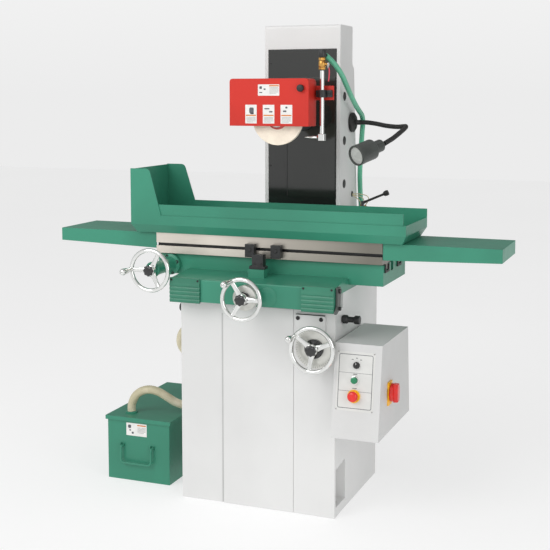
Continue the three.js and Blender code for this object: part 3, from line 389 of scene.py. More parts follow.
# Each look's material name, colour, roughness, colour variation and its scale, grain scale and strength, and
# whatever else look() is told.
LOOK_TABLE = {
    "white": ("white_enamel", (221, 221, 220), 0.42, 0.05, 2.2, 650, 0.1, dict(coat=0.15)),
    "green": ("green_enamel", (56, 138, 112), 0.4, 0.12, 2.6, 700, 0.1, dict(coat=0.1, specular=0.4)),
    "deep_green": ("green_enamel_flap", (46, 124, 98), 0.42, 0.14, 4, 500, 0.14, dict(coat=0.15)),
    # a grey that paints the shadow of the base's front step
    "seam": ("seam_filler", (190, 190, 189), 0.5, 0.05, 5, 650, 0.08, {}),
    "red": ("red_enamel", (202, 44, 32), 0.5, 0.1, 3.5, 620, 0.07, dict(specular=0.35)),
    "grey": ("grey_powder_coat", (212, 212, 211), 0.5, 0.05, 3, 1500, 0.22, dict(spread=0.08)),
    "panel": ("black_panel", (34, 36, 34), 0.1, 0.22, 2.0, 420, 0.03, dict(coat=0.5, spread=0.05)),
    "plate": ("black_slide_plate", (38, 41, 38), 0.09, 0.2, 2.4, 420, 0.03, dict(coat=0.5, spread=0.05)),
    "black": ("black_oxide", (38, 39, 40), 0.42, 0.3, 30, 1400, 0.16, {}),
    "rubber": ("black_moulding", (34, 34, 33), 0.5, 0.25, 40, 1800, 0.2, {}),
    "knob": ("glossy_black", (24, 25, 26), 0.16, 0.2, 30, 900, 0.04, dict(coat=0.6)),
    "panel_plate": ("control_plate", (216, 216, 213), 0.45, 0.03, 30, 1800, 0.05, {}),
    "charcoal": ("charcoal_moulding", (72, 76, 73), 0.42, 0.12, 16, 1600, 0.14, {}),
    "cast": ("dark_grey_casting", (70, 73, 76), 0.5, 0.16, 9, 260, 0.3, dict(grain_detail=6)),
    "ground": ("ground_steel", (226, 218, 207), 0.34, 0.1, 2.2, 900, 0.1,
               dict(metallic=0.8, bump_depth=0.0002, stretch=(1, 3, 3), spread=0.05)),
    "steel": ("turned_steel", (190, 190, 188), 0.26, 0.14, 18, 700, 0.1,
              dict(metallic=1.0, stretch=(3, 22, 3), spread=0.08)),
    "chrome": ("chrome_plate", (232, 233, 231), 0.1, 0.07, 14, 240, 0.03, dict(metallic=1.0, spread=0.04)),
    "satin": ("satin_dial", (214, 214, 208), 0.34, 0.1, 26, 1200, 0.07, dict(metallic=0.55)),
    "brass": ("brass_fitting", (214, 170, 96), 0.24, 0.2, 60, 900, 0.09,
              dict(metallic=1.0, second=rgb(170, 120, 58))),
    "abrasive": ("vitrified_abrasive", (252, 240, 222), 0.95, 0.07, 30, 1500, 0.75,
                 dict(bump_depth=0.0006, specular=0.2, grain_detail=6)),
    "blotter": ("flange_blotter", (206, 96, 92), 0.8, 0.2, 50, 1500, 0.3, {}),
    "hose_green": ("green_hose", (96, 186, 150), 0.3, 0.1, 9, 500, 0.06, dict(coat=0.3)),
    "hose_cream": ("cream_hose", (226, 217, 194), 0.42, 0.1, 12, 420, 0.12, dict(second=rgb(196, 188, 158))),
    "oil_line": ("nylon_oil_line", (222, 214, 178), 0.35, 0.12, 40, 900, 0.05, {}),
    "button_green": ("green_button", (22, 128, 84), 0.28, 0.1, 60, 1400, 0.06, dict(coat=0.3)),
    "button_red": ("red_button", (226, 34, 26), 0.3, 0.1, 50, 1400, 0.06, dict(coat=0.3)),
    "yellow": ("yellow_moulding", (250, 186, 24), 0.36, 0.1, 50, 1400, 0.08, {}),
    "pink": ("dipped_lever", (214, 62, 82), 0.34, 0.14, 70, 900, 0.08, {}),
    "paper": ("printed_label", (232, 231, 228), 0.5, 0.04, 60, 2200, 0.05, {}),
    "orange": ("label_band", (214, 124, 42), 0.5, 0.08, 80, 2200, 0.05, {}),
    "ink": ("label_ink", (88, 90, 96), 0.55, 0.2, 120, 2200, 0.05, {}),
    "print": ("panel_print", (108, 110, 110), 0.5, 0.12, 90, 2200, 0.05, {}),
    "lens": ("lamp_lens", (206, 208, 204), 0.18, 0.1, 60, 340, 0.5, dict(coat=0.5)),
    "glass": ("sight_glass", (150, 132, 84), 0.1, 0.2, 30, 300, 0.03, dict(coat=0.8)),
}
LOOKS = {key: look(name, rgb(*colour), *numbers, **extras)
         for key, (name, colour, *numbers, extras) in LOOK_TABLE.items()}
graded(LOOKS["ground"], rgb(128, 125, 116), -0.2, 0.35)
speckled(LOOKS["abrasive"], rgb(206, 186, 160), 900, 0.5)


# ---------- pieces ----------
def smooth_by_angle(mesh):
    """Shades a mesh smooth, with creases where its faces turn sharply."""
    work = bmesh.new()
    work.from_mesh(mesh)
    bmesh.ops.recalc_face_normals(work, faces=work.faces)
    for face in work.faces:
        face.smooth = True
    for edge in work.edges:
        edge.smooth = len(edge.link_faces) == 2 and edge.calc_face_angle(0) < SMOOTH_ANGLE
    work.to_mesh(mesh)
    work.free()


def rounded(obj, width, angle=SMOOTH_ANGLE):
    """Rounds the sharp edges of a piece by that many millimetres."""
    bevel = obj.modifiers.new("rounded", "BEVEL")
    bevel.width = width * MM
    bevel.segments = 2
    bevel.limit_method = "ANGLE"
    bevel.angle_limit = angle
    bevel.use_clamp_overlap = True
    bevel.miter_outer = "MITER_ARC"
    shade = obj.modifiers.new("even_shading", "WEIGHTED_NORMAL")
    shade.keep_sharp = True


def piece(name, body, parts, bevel=0.0, replaces=()):
    """One visible piece that moves with a body. parts is [(shape, look)]."""
    vertices, faces, materials, order = [], [], [], []
    for (points, polygons), finish in parts:
        if finish not in order:
            order.append(finish)
        first = len(vertices)
        vertices.extend(points)
        faces.extend([first + i for i in polygon] for polygon in polygons)
        materials.extend([order.index(finish)] * len(polygons))
    mesh = bpy.data.meshes.new(name)
    mesh.from_pydata(vertices, [], faces)
    for finish in order:
        mesh.materials.append(LOOKS[finish])
    mesh.polygons.foreach_set("material_index", materials)
    smooth_by_angle(mesh)
    made = bpy.data.objects.new(name, mesh)
    SCENE.collection.objects.link(made)
    if bevel:
        rounded(made, bevel)
    if body:
        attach(made, body)
    if replaces:
        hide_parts(*replaces)
    return made


def stand_in(name, body, parts, bevel=0.0):
    """A piece that takes the place of the CAD node of that name."""
    return piece(name + "_piece", body, parts, bevel, (name,))


# ---------- hoses ----------
# Coolant: from the elbow on the valve, past the lamp, down beside the column and round its back to the pump.
COOLANT_ROUTE = [
    (155.5, 231.9, 1479.2), (160.5, 245, 1471.5), (167.5, 266, 1459), (174, 298, 1440), (178.5, 340, 1413),
    (179.5, 405, 1367), (179.5, 480, 1320), (180, 535, 1292), (180, 567, 1276), (178, 585, 1250),
    (173, 593, 1214), (166, 604, 1150), (159, 616, 1068), (156, 632, 996), (157, 648, 920), (163, 668, 840),
    (172, 692, 760), (172, 712, 690), (156, 728, 610), (118, 738, 530), (56, 742, 455), (-24, 742, 392),
    (-100, 732, 346), (-178, 694, 314), (-240, 618, 290), (-280, 546, 272), (-312, 498, 259),
    (-340, 482, 254.4), (-354, 480, 254), (-365.6, 480, 254),
]
# Drain: from the spigot under the saddle down beside the base, then over in an arch to the tank's lid.
DRAIN_ROUTE = [
    (-310, 240, 723.7), (-310, 240, 700), (-307, 224, 662), (-302, 186, 622), (-302, 152, 586),
    (-313, 132, 552), (-328, 127, 530), (-333, 126, 507), (-328, 128, 484), (-313, 136, 458),
    (-302, 156, 425), (-298, 182, 385), (-300, 203, 340), (-309, 214, 300), (-326, 212, 268),
    (-352, 200, 255), (-379, 178, 268), (-403, 158, 290), (-431, 146, 309), (-462, 139, 316),
    (-493, 136, 308), (-518, 136, 288), (-531, 136, 262), (-534, 136, 247), (-534, 136, 233.5),
]
RIB_PITCH = 6.0


def ribs(run):
    """How far a ribbed hose's surface stands in at a distance along it."""
    return 0.5 * (cos(2 * pi * run / RIB_PITCH) - 1)


def hose(name, route, radius, finish, sides, step, swell):
    """A hose along a route, its mesh fixed in the frame and moving with no body."""
    path = smooth_path(route, step)
    made = stand_in(name, None, [(tube(path, radius, sides, swell), finish)])
    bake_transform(made)


hose("coolant_hose", COOLANT_ROUTE, 9, "hose_green", 20, 8, None)
hose("drain_hose", DRAIN_ROUTE, 15, "hose_cream", 24, 1.5, ribs)


# ---------- carried-over castings and sheet metal ----------
# Each keeps its CAD mesh. Its flat faces are merged, its edges rounded by the width given here, in
# millimetres, and its surface finished with the look that it is listed under.
CARRIED = {
    "white": {"base_casting": 3.0, "feed_plate": 1.2, "column_casting": 3.0},
    "panel": {"column_front_panel": 0.5},
    "grey": {"cabinet_shell": 1.2, "cabinet_door": 1.6},
    "green": {"coolant_tank": 1.5, "tank_lid": 1.6, "saddle_casting": 2.2, "long_feed_bracket": 1.2,
              "splash_tray": 1.0, "left_end_cover": 1.2, "right_end_cover": 1.2},
    "deep_green": {"left_way_flap": 0.8, "right_way_flap": 0.8},
    "black": {"stop_block": 1.0, "left_trip_dog": 0.8, "right_trip_dog": 0.8},
    "steel": {"table_rack": 0.2, "pinion_shaft": 0.2, "elevating_screw": 0.3, "long_feed_shaft": 0.4,
              "spindle_shaft": 0.4},
    "ground": {"worktable": 0.6},
    "cast": {"spindle_head": 2.5},
    "plate": {"head_slide_plate": 0.5},
    "red": {"wheel_guard": 1.0, "guard_door": 0.9},
}


WELD_DISTANCE = 0.02
FLAT_ANGLE = radians(0.4)


def carry(node, finish, width):
    """Dresses a CAD node whose shape is right."""
    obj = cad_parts[node]
    mesh = obj.data
    if "custom_normal" in mesh.attributes:
        mesh.attributes.remove(mesh.attributes["custom_normal"])
    mesh.materials.clear()
    mesh.materials.append(LOOKS[finish])
    mesh.polygons.foreach_set("use_smooth", [True] * len(mesh.polygons))
    weld = obj.modifiers.new("weld", "WELD")
    weld.merge_threshold = WELD_DISTANCE * MM
    flat = obj.modifiers.new("flat_faces", "DECIMATE")
    flat.decimate_type = "DISSOLVE"
    flat.angle_limit = FLAT_ANGLE
    rounded(obj, width, CARRIED_ANGLE)


for finish, widths in CARRIED.items():
    for node, width in widths.items():
        carry(node, finish, width)


# ---------- handwheels, their grips and dials ----------
RIM = 7.0
SPOKES = 3
SPOKE_SIDES = 20
SPOKE_ROOT, SPOKE_DROP = 12, 7  # from the axis, and behind the rim's plane
# (share of the spoke's length, half width, half depth)
SPOKE_SECTIONS = ((0, 12, 7), (0.12, 10.5, 5.6), (0.35, 8.6, 4.6), (0.7, 7.4, 4.2), (0.9, 8, 4.6),
                  (1, 10, 5.4))
HUB_PROFILE = [(8.3, 15), (8.3, -6), (15, -6.5), (17.5, -5), (18.5, -2), (19, 8), (18.6, 12), (17.5, 13.5),
               (8.4, 14)]
KNOB_PROFILE = [(0, -16), (10, -15.6), (14.6, -14.4), (17.4, -11.8), (17.6, -9), (15, -6.4)]
GRIP_PROFILE = [(5.5, 0), (8, -1), (8.5, -3), (7.2, -8), (7.4, -14), (8.8, -24), (10.2, -36), (11, -47),
                (10.8, -53), (9.4, -58.5), (7, -61.2), (4.4, -62), (3.6, -61.4), (3.2, -57), (0, -57)]


def around(turn):
    """Outwards and sideways at an angle about Y, counted from +X."""
    cosine, sine = cos(turn), sin(turn)
    return Vector((cosine, 0, sine)), Vector((-sine, 0, cosine))


def handwheel(name, body, centre, rim, first_spoke):
    """A rim, three flat spokes, a hub and the scalloped knob that locks the wheel on its shaft."""
    middle = Vector(centre)
    parts = [(ring_tube(centre, Y, rim, RIM), "chrome")]
    for turn in turns(SPOKES):
        out, side = around(first_spoke + turn)
        root = middle + Y * SPOKE_DROP + out * SPOKE_ROOT
        way = middle + out * (rim - 2) - root
        rings = [[at(root + way * share + side * wide * cos(a) + Y * deep * sin(a))
                  for a in turns(SPOKE_SIDES)] for share, wide, deep in SPOKE_SECTIONS]
        parts.append((rings_to_shape(rings), "chrome"))
    parts.append((lathe(centre, Y, HUB_PROFILE), "chrome"))
    parts.append((lathe(centre, Y, KNOB_PROFILE, 64, (8, 0.07)), "knob"))
    stand_in(name + "_handwheel", body, parts)


def grip(name, body, centre, rim, turn):
    """The turning grip that stands out of a rim."""
    out, _ = around(turn)
    foot = Vector(centre) + out * rim - Y * (RIM + 0.3)
    stand_in(name + "_handle", body, [(lathe(foot, Y, GRIP_PROFILE, 40), "chrome")])


# Name and body of the wheel, body of its grip, centre, rim radius, and the angles of a spoke and the grip.
WHEELS = (
    ("long_feed", "long_handle", (-348, -66.5, 778), 66.4, pi / 3, pi),
    ("cross_feed", "cross_handle", (0, -122, 714), 64, 0, 2 * pi / 3),
    ("down_feed", "down_handle", (218, -76, 562), 69, 0.12 * pi, 0.79 * pi),
)
for name, handle_body, centre, rim, first_spoke, turn in WHEELS:
    handwheel(name, name, centre, rim, first_spoke)
    grip(name, handle_body, centre, rim, turn)


MARKS, MARKS_APART = 50, 5  # marks on a dial, and from one long mark to the next
SHORT_MARK = 0.6
MARK_HALF_WIDTH, MARK_LIFT = 0.35, 0.15


def dial(name, body, centre, node, disc, shaft, collars, marks):
    """A graduated disc on a shaft. marks are (radius, distance along the shaft) at a long mark's two ends."""
    x, _, z = centre
    face = Vector((x, 0, z))
    parts = [(lathe(face, Y, disc, 96), "satin"), (lathe(face, Y, shaft, 32), "steel")]
    parts += [(lathe(face, Y, collar, 64), finish) for collar, finish in collars]
    (near_radius, near_end), (far_radius, far_end) = marks
    for i, turn in enumerate(turns(MARKS)):
        out, side = around(turn)
        lift, across_mark = (out - Y) * MARK_LIFT, side * MARK_HALF_WIDTH
        rings = []
        for part in (0, 1.0 if i % MARKS_APART == 0 else SHORT_MARK):
            radius = near_radius + (far_radius - near_radius) * part
            along = near_end + (far_end - near_end) * part
            middle = face + out * radius + Y * along
            rings.append([at(middle + lift * a + across_mark * b)
                          for a, b in ((-1, -1), (-1, 1), (1, 1), (1, -1))])
        parts.append((rings_to_shape(rings), "ink"))
    piece(name, body, parts, replaces=(node,))


dial("cross_feed_dial", "cross_feed", WHEELS[1][2], "cross_feed_screw",
     [(18, -97.6), (36, -97.2), (39.4, -95.8), (40.4, -93.5), (40.4, -73.6), (38.6, -71.8), (18, -71.2)],
     [(8, -132.5), (8, -107), (9.4, -61.5), (9.4, 300)],
     [([(8.2, -106.4), (19.6, -106.4), (21, -105.2), (21, -97.4), (18, -97.4)], "knob"),
      ([(18, -71.4), (18, -62.5), (17.4, -62), (9, -62)], "steel")],
     [(40.4, -92.5), (40.4, -82)])
dial("down_feed_dial", "down_feed", WHEELS[2][2], "down_feed_shaft",
     [(28, -50.3), (62, -50.3), (64.2, -48.9), (63.4, -45), (60.2, -38.6), (58, -37.8), (16, -37.7)],
     [(8, -86.5), (8, -60), (10, -24), (10, 425)],
     [([(8.2, -59.8), (29, -59.8), (31, -58.2), (31, -50.2), (28, -50.2)], "knob"),
      ([(16, -37.9), (16, -24.4), (9.8, -24)], "steel")],
     [(61.5, -50.3), (54, -50.3)])

# ---------- lifting bar ----------
stand_in("lifting_bar", "root", [(lathe((0, 70, 637), X, [
    (0, -303), (12.5, -303), (14, -301.8), (14, -292), (12.6, -290.4), (9, -289), (9, -284), (12.6, -282.6),
    (14, -281), (14, -273), (12.5, -271.6), (10, -271.2), (10, 272), (12.5, 272.4), (14, 274), (14, 286),
    (12.6, 288.4), (9.2, 291), (9.2, 309), (12.6, 311.6), (14, 314), (14, 327), (12.5, 329), (0, 329)], 40),
    "black")])


# ---------- lamp ----------
LAMP_FOOT = Vector((0, 560, 1252))
LAMP_SCREWS = 26  # from the middle of the flange
piece("lamp_flange", "root", [
    (lathe(LAMP_FOOT, X, [(9.3, 141.3), (33, 141.3), (35, 142.5), (35, 151), (33.5, 153), (28, 155.5),
                          (26, 158), (15, 159.5), (13, 160), (9.3, 160)], 72, (24, 0.012)), "rubber"),
    *[(socket_screw(LAMP_FOOT + Vector((154, LAMP_SCREWS * cos(a), LAMP_SCREWS * sin(a))), X, 3.6, 3),
       "black") for a in map(radians, (30, 150, 270))]],
    bevel=0.3, replaces=("lamp_base",))

LAMP_JOINT = Vector((322, 358, 1186))
LAMP_FRONT = Vector((256, 247, 1149))
ARM_ROUTE = [(151, 560, 1252), (172, 560, 1252), (200, 559, 1252), (235, 556, 1248), (275, 551, 1241),
             (315, 542, 1238), (344, 527, 1240), (358, 505, 1240), (357, 478, 1231), (348, 440, 1216),
             (338, 405, 1202), (330, 380, 1194), tuple(LAMP_JOINT)]
LINK_PITCH = 4.2
LINK_GROOVE = 0.75


def links_of_arm(run):
    """How far the grooves between the arm's links stand in at a distance along it."""
    return -LINK_GROOVE * abs(sin(pi * run / LINK_PITCH)) ** 3


stand_in("lamp_arm", "lamp_arm", [
    (tube(smooth_path(ARM_ROUTE, 0.7), 8.4, 20, links_of_arm), "rubber"),
    (lathe(LAMP_FOOT, X, [(0, 151.2), (8.9, 151.2), (8.9, 174), (8, 177), (7, 178), (0, 178)], 32), "black")])

LAMP_WAY = (LAMP_FRONT - LAMP_JOINT).normalized()
HEAD_LENGTH = (LAMP_FRONT - LAMP_JOINT).length
LAMP_HEAD = [(0, 9.2), (9, 9.2), (17.5, 13.5), (20, 16), (21, 19), (21, 47), (22.5, 49), (29.5, 54.5),
             (31.5, 56.5), (34, 59.5), (34.6, 62), (34.2, 112), (35, 113.5), (35, HEAD_LENGTH - 2),
             (33.6, HEAD_LENGTH), (31.2, HEAD_LENGTH), (30.6, HEAD_LENGTH - 3), (29, HEAD_LENGTH - 9),
             (13, 72), (0, 71)]
LENS_DEPTHS = ((0, 11), (29.2, 9.6), (29.6, 6.6), (20, 5.4), (0, 4.8))  # (radius, distance behind the front)
LENS = [(radius, HEAD_LENGTH - depth) for radius, depth in LENS_DEPTHS]
stand_in("lamp_head", "lamp_head", [(lathe(LAMP_JOINT, LAMP_WAY, LAMP_HEAD, 56), "charcoal"),
                                    (lathe(LAMP_JOINT, LAMP_WAY, LENS), "lens")])
SWITCH_FACING = Vector((0.35, -1, 0.75))
SWITCH_OUT = (SWITCH_FACING - LAMP_WAY * SWITCH_FACING.dot(LAMP_WAY)).normalized()
SWITCH_SIDE = LAMP_WAY.cross(SWITCH_OUT)
SWITCH_AT = LAMP_JOINT.lerp(LAMP_FRONT, 0.25)
rocker = slab(SWITCH_AT + SWITCH_OUT * 18, LAMP_WAY, SWITCH_SIDE, rounded_outline(16, 10.5, 0.6),
              [(0, 0), (4.6, 0), (6.2, 0.8)])
stand_in("lamp_switch", "lamp_switch", [(rocker, "button_red")], bevel=0.3)
piece("lamp_switch_bezel", "lamp_head", [
    (frame_line(SWITCH_AT + SWITCH_OUT * 20.2, LAMP_WAY, SWITCH_SIDE, 19, 13.4, 1.2, 1.4, 1.2), "rubber")])

# ---------- wheel, flange and spindle ----------
SPINDLE = Vector((0, 0, 1272))
WHEEL_PROFILE = [(16, 190.6), (31, 190.6), (31, 190.5), (88.2, 190.5), (89, 191.3), (89, 202.7),
                 (88.2, 203.5), (16, 203.5)]
stand_in("grinding_wheel", "spindle", [
    (lathe(SPINDLE, Y, WHEEL_PROFILE, 128), "abrasive"),
    (lathe(SPINDLE, Y, [(16.2, 190.2), (37, 190.2), (37, 190.5), (16.2, 190.55)], 64), "blotter")])
FLANGE = [(16, 190.15), (29.5, 190.15), (30, 189.4), (30, 184), (29.2, 182.4), (20, 180.4), (19, 179),
          (19, 170), (18.2, 169), (12, 168.2), (0, 168.2)]
stand_in("wheel_flange", "spindle", [(lathe(SPINDLE, Y, FLANGE, 64), "steel"),
                                     (hex_nut(SPINDLE + Y * 180, -Y, 17, 9), "steel")])

# ---------- spindle motor ----------
MOTOR_FINS, FIRST_FIN, FIN_PITCH = 8, 678, 8.6
COVER = SPINDLE + Y * 799.4
COVER_WIRE = 1.3
motor = [(0, 655.3), (66, 655.3), (68, 657), (80, 661), (82, 663), (82, 670), (76, 672)]
for i in range(MOTOR_FINS):
    fin = FIRST_FIN + FIN_PITCH * i
    motor += [(76, fin), (81.4, fin + 1), (81.4, fin + 3.4), (76, fin + 4.4)]
motor += [(76, 751), (81, 752.4), (81, 757), (78, 759), (78, 792), (75, 797), (68, 800.6), (63, 801.2),
          (61, 798), (0, 798)]
parts = [(lathe(SPINDLE, Y, motor, 64), "cast"),
         (slab((0, 711, 1361), Y, -X, rounded_outline(66, 86, 5), [(-16, 0), (16, 0), (19, 2)]), "cast")]
parts += [(ring_tube(COVER, Y, 12 + 11 * i, COVER_WIRE, 48, 8), "black") for i in range(5)]
for turn in turns(6):
    out, _ = around(turn)
    parts.append((tube([COVER + out * 6, COVER + out * 62], COVER_WIRE, 8), "black"))
stand_in("spindle_motor", "head", parts)

# ---------- coolant pipe, valve and nozzle ----------
PIPE = Vector((149, 215, 0))
PIPE_AHEAD = Y * PIPE.y  # the point of the pipe's plane that profiles along X start from
PIPE_PROFILE = [(5.4, 1210), (5.5, 1222), (7.5, 1222.4), (7.5, 1429.4), (6.8, 1430)]
stand_in("coolant_pipe", "head", [(lathe(PIPE, Z, PIPE_PROFILE, 32), "chrome")])
stand_in("coolant_nozzle", "nozzle", [
    (slab(PIPE + Z * 1199, X, Y, rounded_outline(21.6, 21.6, 3), [(0.2, 0.8), (1, 0), (22, 0), (22.9, 0.8)]),
     "chrome"),
    (lathe(PIPE_AHEAD + Z * 1210, X, [(0, 89), (1.2, 89), (1.7, 89.6), (2.6, 98), (4.4, 112), (6, 116),
                                      (6, 140)], 28), "chrome"),
    (hex_nut((139.5, 215, 1210), -X, 8, 7), "chrome")])
stand_in("pipe_clamp", "head", [
    (slab((152.6, 231.4, 1354), X, Z, rounded_outline(56, 23.6, 3), [(0, 0), (9.2, 0), (10.4, 1)]), "black"),
    (lathe(PIPE, Z, [(7.8, 1341.4), (13, 1341.4), (14, 1342.4), (14, 1365.6), (13, 1366.6), (7.8, 1366.6)],
           36), "black"),
    (socket_screw((172, 221.4, 1354), -Y, 5.4, 5), "black"),
    (socket_screw((133, 221.4, 1354), -Y, 3.6, 3), "black")],
    bevel=0.4)
ELBOW_WAY = (6.3, 16.4, -9.5)
stand_in("coolant_valve", "head", [
    (lathe(PIPE, Z, [(5, 1430.4), (9, 1430.4), (10, 1431.2), (10, 1432.6), (9, 1433)], 32), "black"),
    (hex_nut(PIPE + Z * 1433, Z, 12, 8), "brass"),
    (lathe(PIPE, Z, [(8, 1440), (11, 1441), (12.4, 1444), (12.4, 1458), (11, 1461), (9.6, 1463), (9.6, 1464)],
           32), "brass"),
    (hex_nut(PIPE + Z * 1463.6, Z, 12, 9), "brass"),
    (lathe(PIPE, Z, [(8, 1472), (9.4, 1472.6), (9.4, 1474.4), (11.6, 1475), (12, 1476.4), (12, 1494),
                     (10.6, 1497.8), (7.6, 1499.6), (0, 1500)], 32), "black"),
    (lathe(PIPE + Z * 1489, ELBOW_WAY, [(0, 0), (8, 2), (8, 11.4), (7, 12.6), (6.2, 14), (6.2, 19.9),
                                        (0, 19.9)], 28), "black"),
    (lathe(PIPE_AHEAD + Z * 1450, X, [(6, 152), (6, 163), (4.4, 164), (4.4, 168)], 24), "brass")])
VALVE_LEVER_ROUTE = [(171.6, 215, 1440), (173.4, 215, 1428), (172.8, 215, 1410), (171, 215, 1394)]
stand_in("valve_lever", "valve_lever", [
    (tube(smooth_path(VALVE_LEVER_ROUTE, 2), 2.0, 16), "pink"),
    (slab((169, 215, 1446), Y, Z, rounded_outline(11, 22, 4), [(0.1, 0), (2.2, 0), (2.6, 0.5)]), "steel"),
    (hex_nut((171.4, 215, 1450), X, 4.6, 3), "steel")])

# ---------- coolant pump ----------
PUMP = Vector((-425, 480, 0))
PUMP_FINS, PUMP_FIRST_FIN, PUMP_FIN_PITCH = 11, 279, 8
PUMP_SCREWS = 48  # from the pump's axis
pump = [(0, 60), (22, 60), (28, 65), (28, 226.5), (28, 227.5), (54.6, 227.5), (56, 228.6), (56, 234),
        (54, 235.4), (34, 237), (33, 240), (33, 266), (36, 269), (43.6, 271), (45, 273)]
for i in range(PUMP_FINS):
    fin = PUMP_FIRST_FIN + PUMP_FIN_PITCH * i
    pump += [(42, fin), (45, fin + 0.8), (45, fin + 3.4), (42, fin + 4.2)]
pump += [(45, 370), (45, 379), (44, 384), (39, 391), (27, 395.6), (0, 396)]
stand_in("coolant_pump", "root", [
    (lathe(PUMP, Z, pump, 56), "cast"),
    (lathe((0, PUMP.y, 254), X, [(8, -405), (8, -376), (9.6, -375), (9.6, -371), (7.6, -370), (7.6, -366.2),
                                 (0, -366.2)], 28), "brass"),
    (slab((-425, 437, 325), X, Z, rounded_outline(48, 40, 4), [(-6, 0), (6, 0), (8, 1.4)]), "cast"),
    *[(socket_screw(PUMP + Vector((PUMP_SCREWS * cos(a), PUMP_SCREWS * sin(a), 235)), Z, 4.4, 4.4),
       "steel") for a in map(radians, (45, 135, 225, 315))]])

# ---------- tank handle and labels ----------
HANDLE_LEFT, HANDLE_RIGHT, HANDLE_PIVOT = -540, -423, 126
# The left half of the wire, as (inwards from the left, y, z). The right half is its mirror image.
HANDLE_HALF = ((0, 76, HANDLE_PIVOT), (0, 68, 120), (0, 66, 86), (0, 66, 78), (3.6, 66, 69.6), (12, 66, 66),
               (20, 66, 66))
HANDLE_ROUTE = [(HANDLE_LEFT + inwards, y, z) for inwards, y, z in HANDLE_HALF]
HANDLE_ROUTE += [(HANDLE_RIGHT - inwards, y, z) for inwards, y, z in reversed(HANDLE_HALF)]
stand_in("tank_handle", "tank_handle", [(tube(smooth_path(HANDLE_ROUTE, 3), 3.9, 16), "green")])
HANDLE_EARS = [(x, side) for x in (HANDLE_LEFT, HANDLE_RIGHT) for side in (-1, 1)]
piece("tank_handle_bosses", "root", [
    *[(slab((x + side * 4.5, 75.7, HANDLE_PIVOT), Y, Z, rounded_outline(9.2, 13, 3), [(0, 0), (side * 2, 0)]),
       "green") for x, side in HANDLE_EARS],
    *[(lathe((x, 76, HANDLE_PIVOT), X * side, [(2.6, 6), (2.6, 7.2), (1.8, 7.8), (0, 7.8)], 20), "green")
      for x, side in HANDLE_EARS]])


def label(name, body, centre, right, up, width, height, band, pictures, lines):
    """A blank white placard with an orange band, plain shapes for pictures and grey bars for writing."""
    out = Vector(right).cross(Vector(up))
    centre, right, up = Vector(centre), Vector(right), Vector(up)
    parts = [(plate(centre, right, up, width, height, 0.4, 1.2, 0.1), "paper")]

    def mark(x, y, wide, tall, finish, corner=0.0):
        place = centre + right * x + up * y + out * 0.35
        parts.append((plate(place, right, up, wide, tall, 0.25, corner, 0.05), finish))

    mark(*band, "orange")
    for x, y, wide, tall in pictures:
        mark(x, y, wide, tall, "ink", min(wide, tall) * 0.3)
    for x, y, wide in lines:
        mark(x, y, wide, 0.9, "print")
    piece(name, body, parts)


def bars(x, top, wide, count, pitch):
    """Lines of grey writing, the last one shorter, as (middle, height, width)."""
    return [(x - (wide * 0.12 if i == count - 1 else 0), top - i * pitch,
             wide * (0.76 if i == count - 1 else 1))
            for i in range(count)]


GUARD_FACE = 160
# For each lower label: its middle, then two pictures as (x, y, width, height).
GUARD_LABELS = (
    (-82, (2, 12, 16, 20), (4, 2, 12, 5)),
    (-19, (-6, 18, 18, 4), (8, 8, 12, 5)),
    (44, (0, 22, 7, 6), (-6, 10, 12, 5)),
)
label("guard_label_upper", "guard_door", (-19, GUARD_FACE, 1366), X, Z, 76, 37,
      (19, 14, 34, 4), [(-28, 8, 9, 9), (-14, 3, 7, 5), (-28, -8, 11, 3)], bars(19, 8, 32, 6, 3.7))
for i, (x, *pictures) in enumerate(GUARD_LABELS):
    label(f"guard_label_{i + 1}", "guard_door", (x, GUARD_FACE, 1286.5), X, Z, 41, 62,
          (0, -4, 36, 4), pictures, bars(0, -10.5, 33, 5, 3.9))
label("tank_label", "root", (-485, 80, 184.5), X, Z, 80, 45, (20, 16, 34, 4),
      [(-27, 10, 12, 12), (-15, -12, 8, 7), (-25, -3, 6, 5)], bars(20, 8, 32, 5, 4.4))
GUARD_KNOB = [(9, -0.5), (9, 1), (11.4, 2.4), (12, 5), (12, 10.6), (11, 13), (8.4, 14), (0, 14)]
piece("guard_knob", "guard_door", [(lathe((95, GUARD_FACE, 1372), -Y, GUARD_KNOB, 40, (9, 0.03)), "rubber")])

# ---------- screws, plugs, small fittings and painted shade strips ---
COLUMN_SIDE = 141
PLUGS = ((483, 1345, 16), (483, 1189, 16), (483, 1036, 16), (578, 992, 11))  # (y, z, radius)


def plug(side, y, z, radius):
    """A domed plug in a hole in the column's side."""
    profile = [(radius, -0.5), (radius, 0.5), (radius - 1.6, 1.6), (radius * 0.5, 1.9), (0, 1.9)]
    return lathe((side * COLUMN_SIDE, y, z), X * side, profile, 36), "rubber"


piece("column_plugs", "root", [plug(side, *place) for side in (1, -1) for place in PLUGS])
piece("panel_screws", "root", [(socket_screw((x, 433, z), -Y, 3.4, 1.8), "black")
                               for x in (-120, 120) for z in (1460, 1283, 1098, 900)])
piece("feed_plate_screws", "root", [(socket_screw((x, -8, 646), -Y, 6.6, 2.6), "black")
                                    for x in (147.4, 225.3)])
# A thin black strip along the feed plate's top edge, painted as the shadow there.
piece("feed_plate_top_shadow", "root", [(block((139.5, -7.6, 657.2), (237.5, -0.6, 658.6)), "rubber")], bevel=0.3)
piece("flap_screws", "saddle", [(socket_screw((x, -54.8, 751), -Y, 3.6, 1.6), "rubber")
                                for x in (-275, -181, 182, 275)])
BRACKET_FACE, BRACKET_SCREWS = Vector((-348, 80.4, 778)), 29
piece("bracket_screws", "saddle", [
    (socket_screw(BRACKET_FACE + around(turn)[0] * BRACKET_SCREWS, -Y, 5.6, 5.5), "black")
    for turn in map(radians, (20, 110, 200, 290))])
piece("apron_boss", "saddle", [(lathe((60, -49, 714), -Y, [(31, -0.5), (31, 0.8), (30, 1.4), (0, 1.4)], 64),
                                "green")])
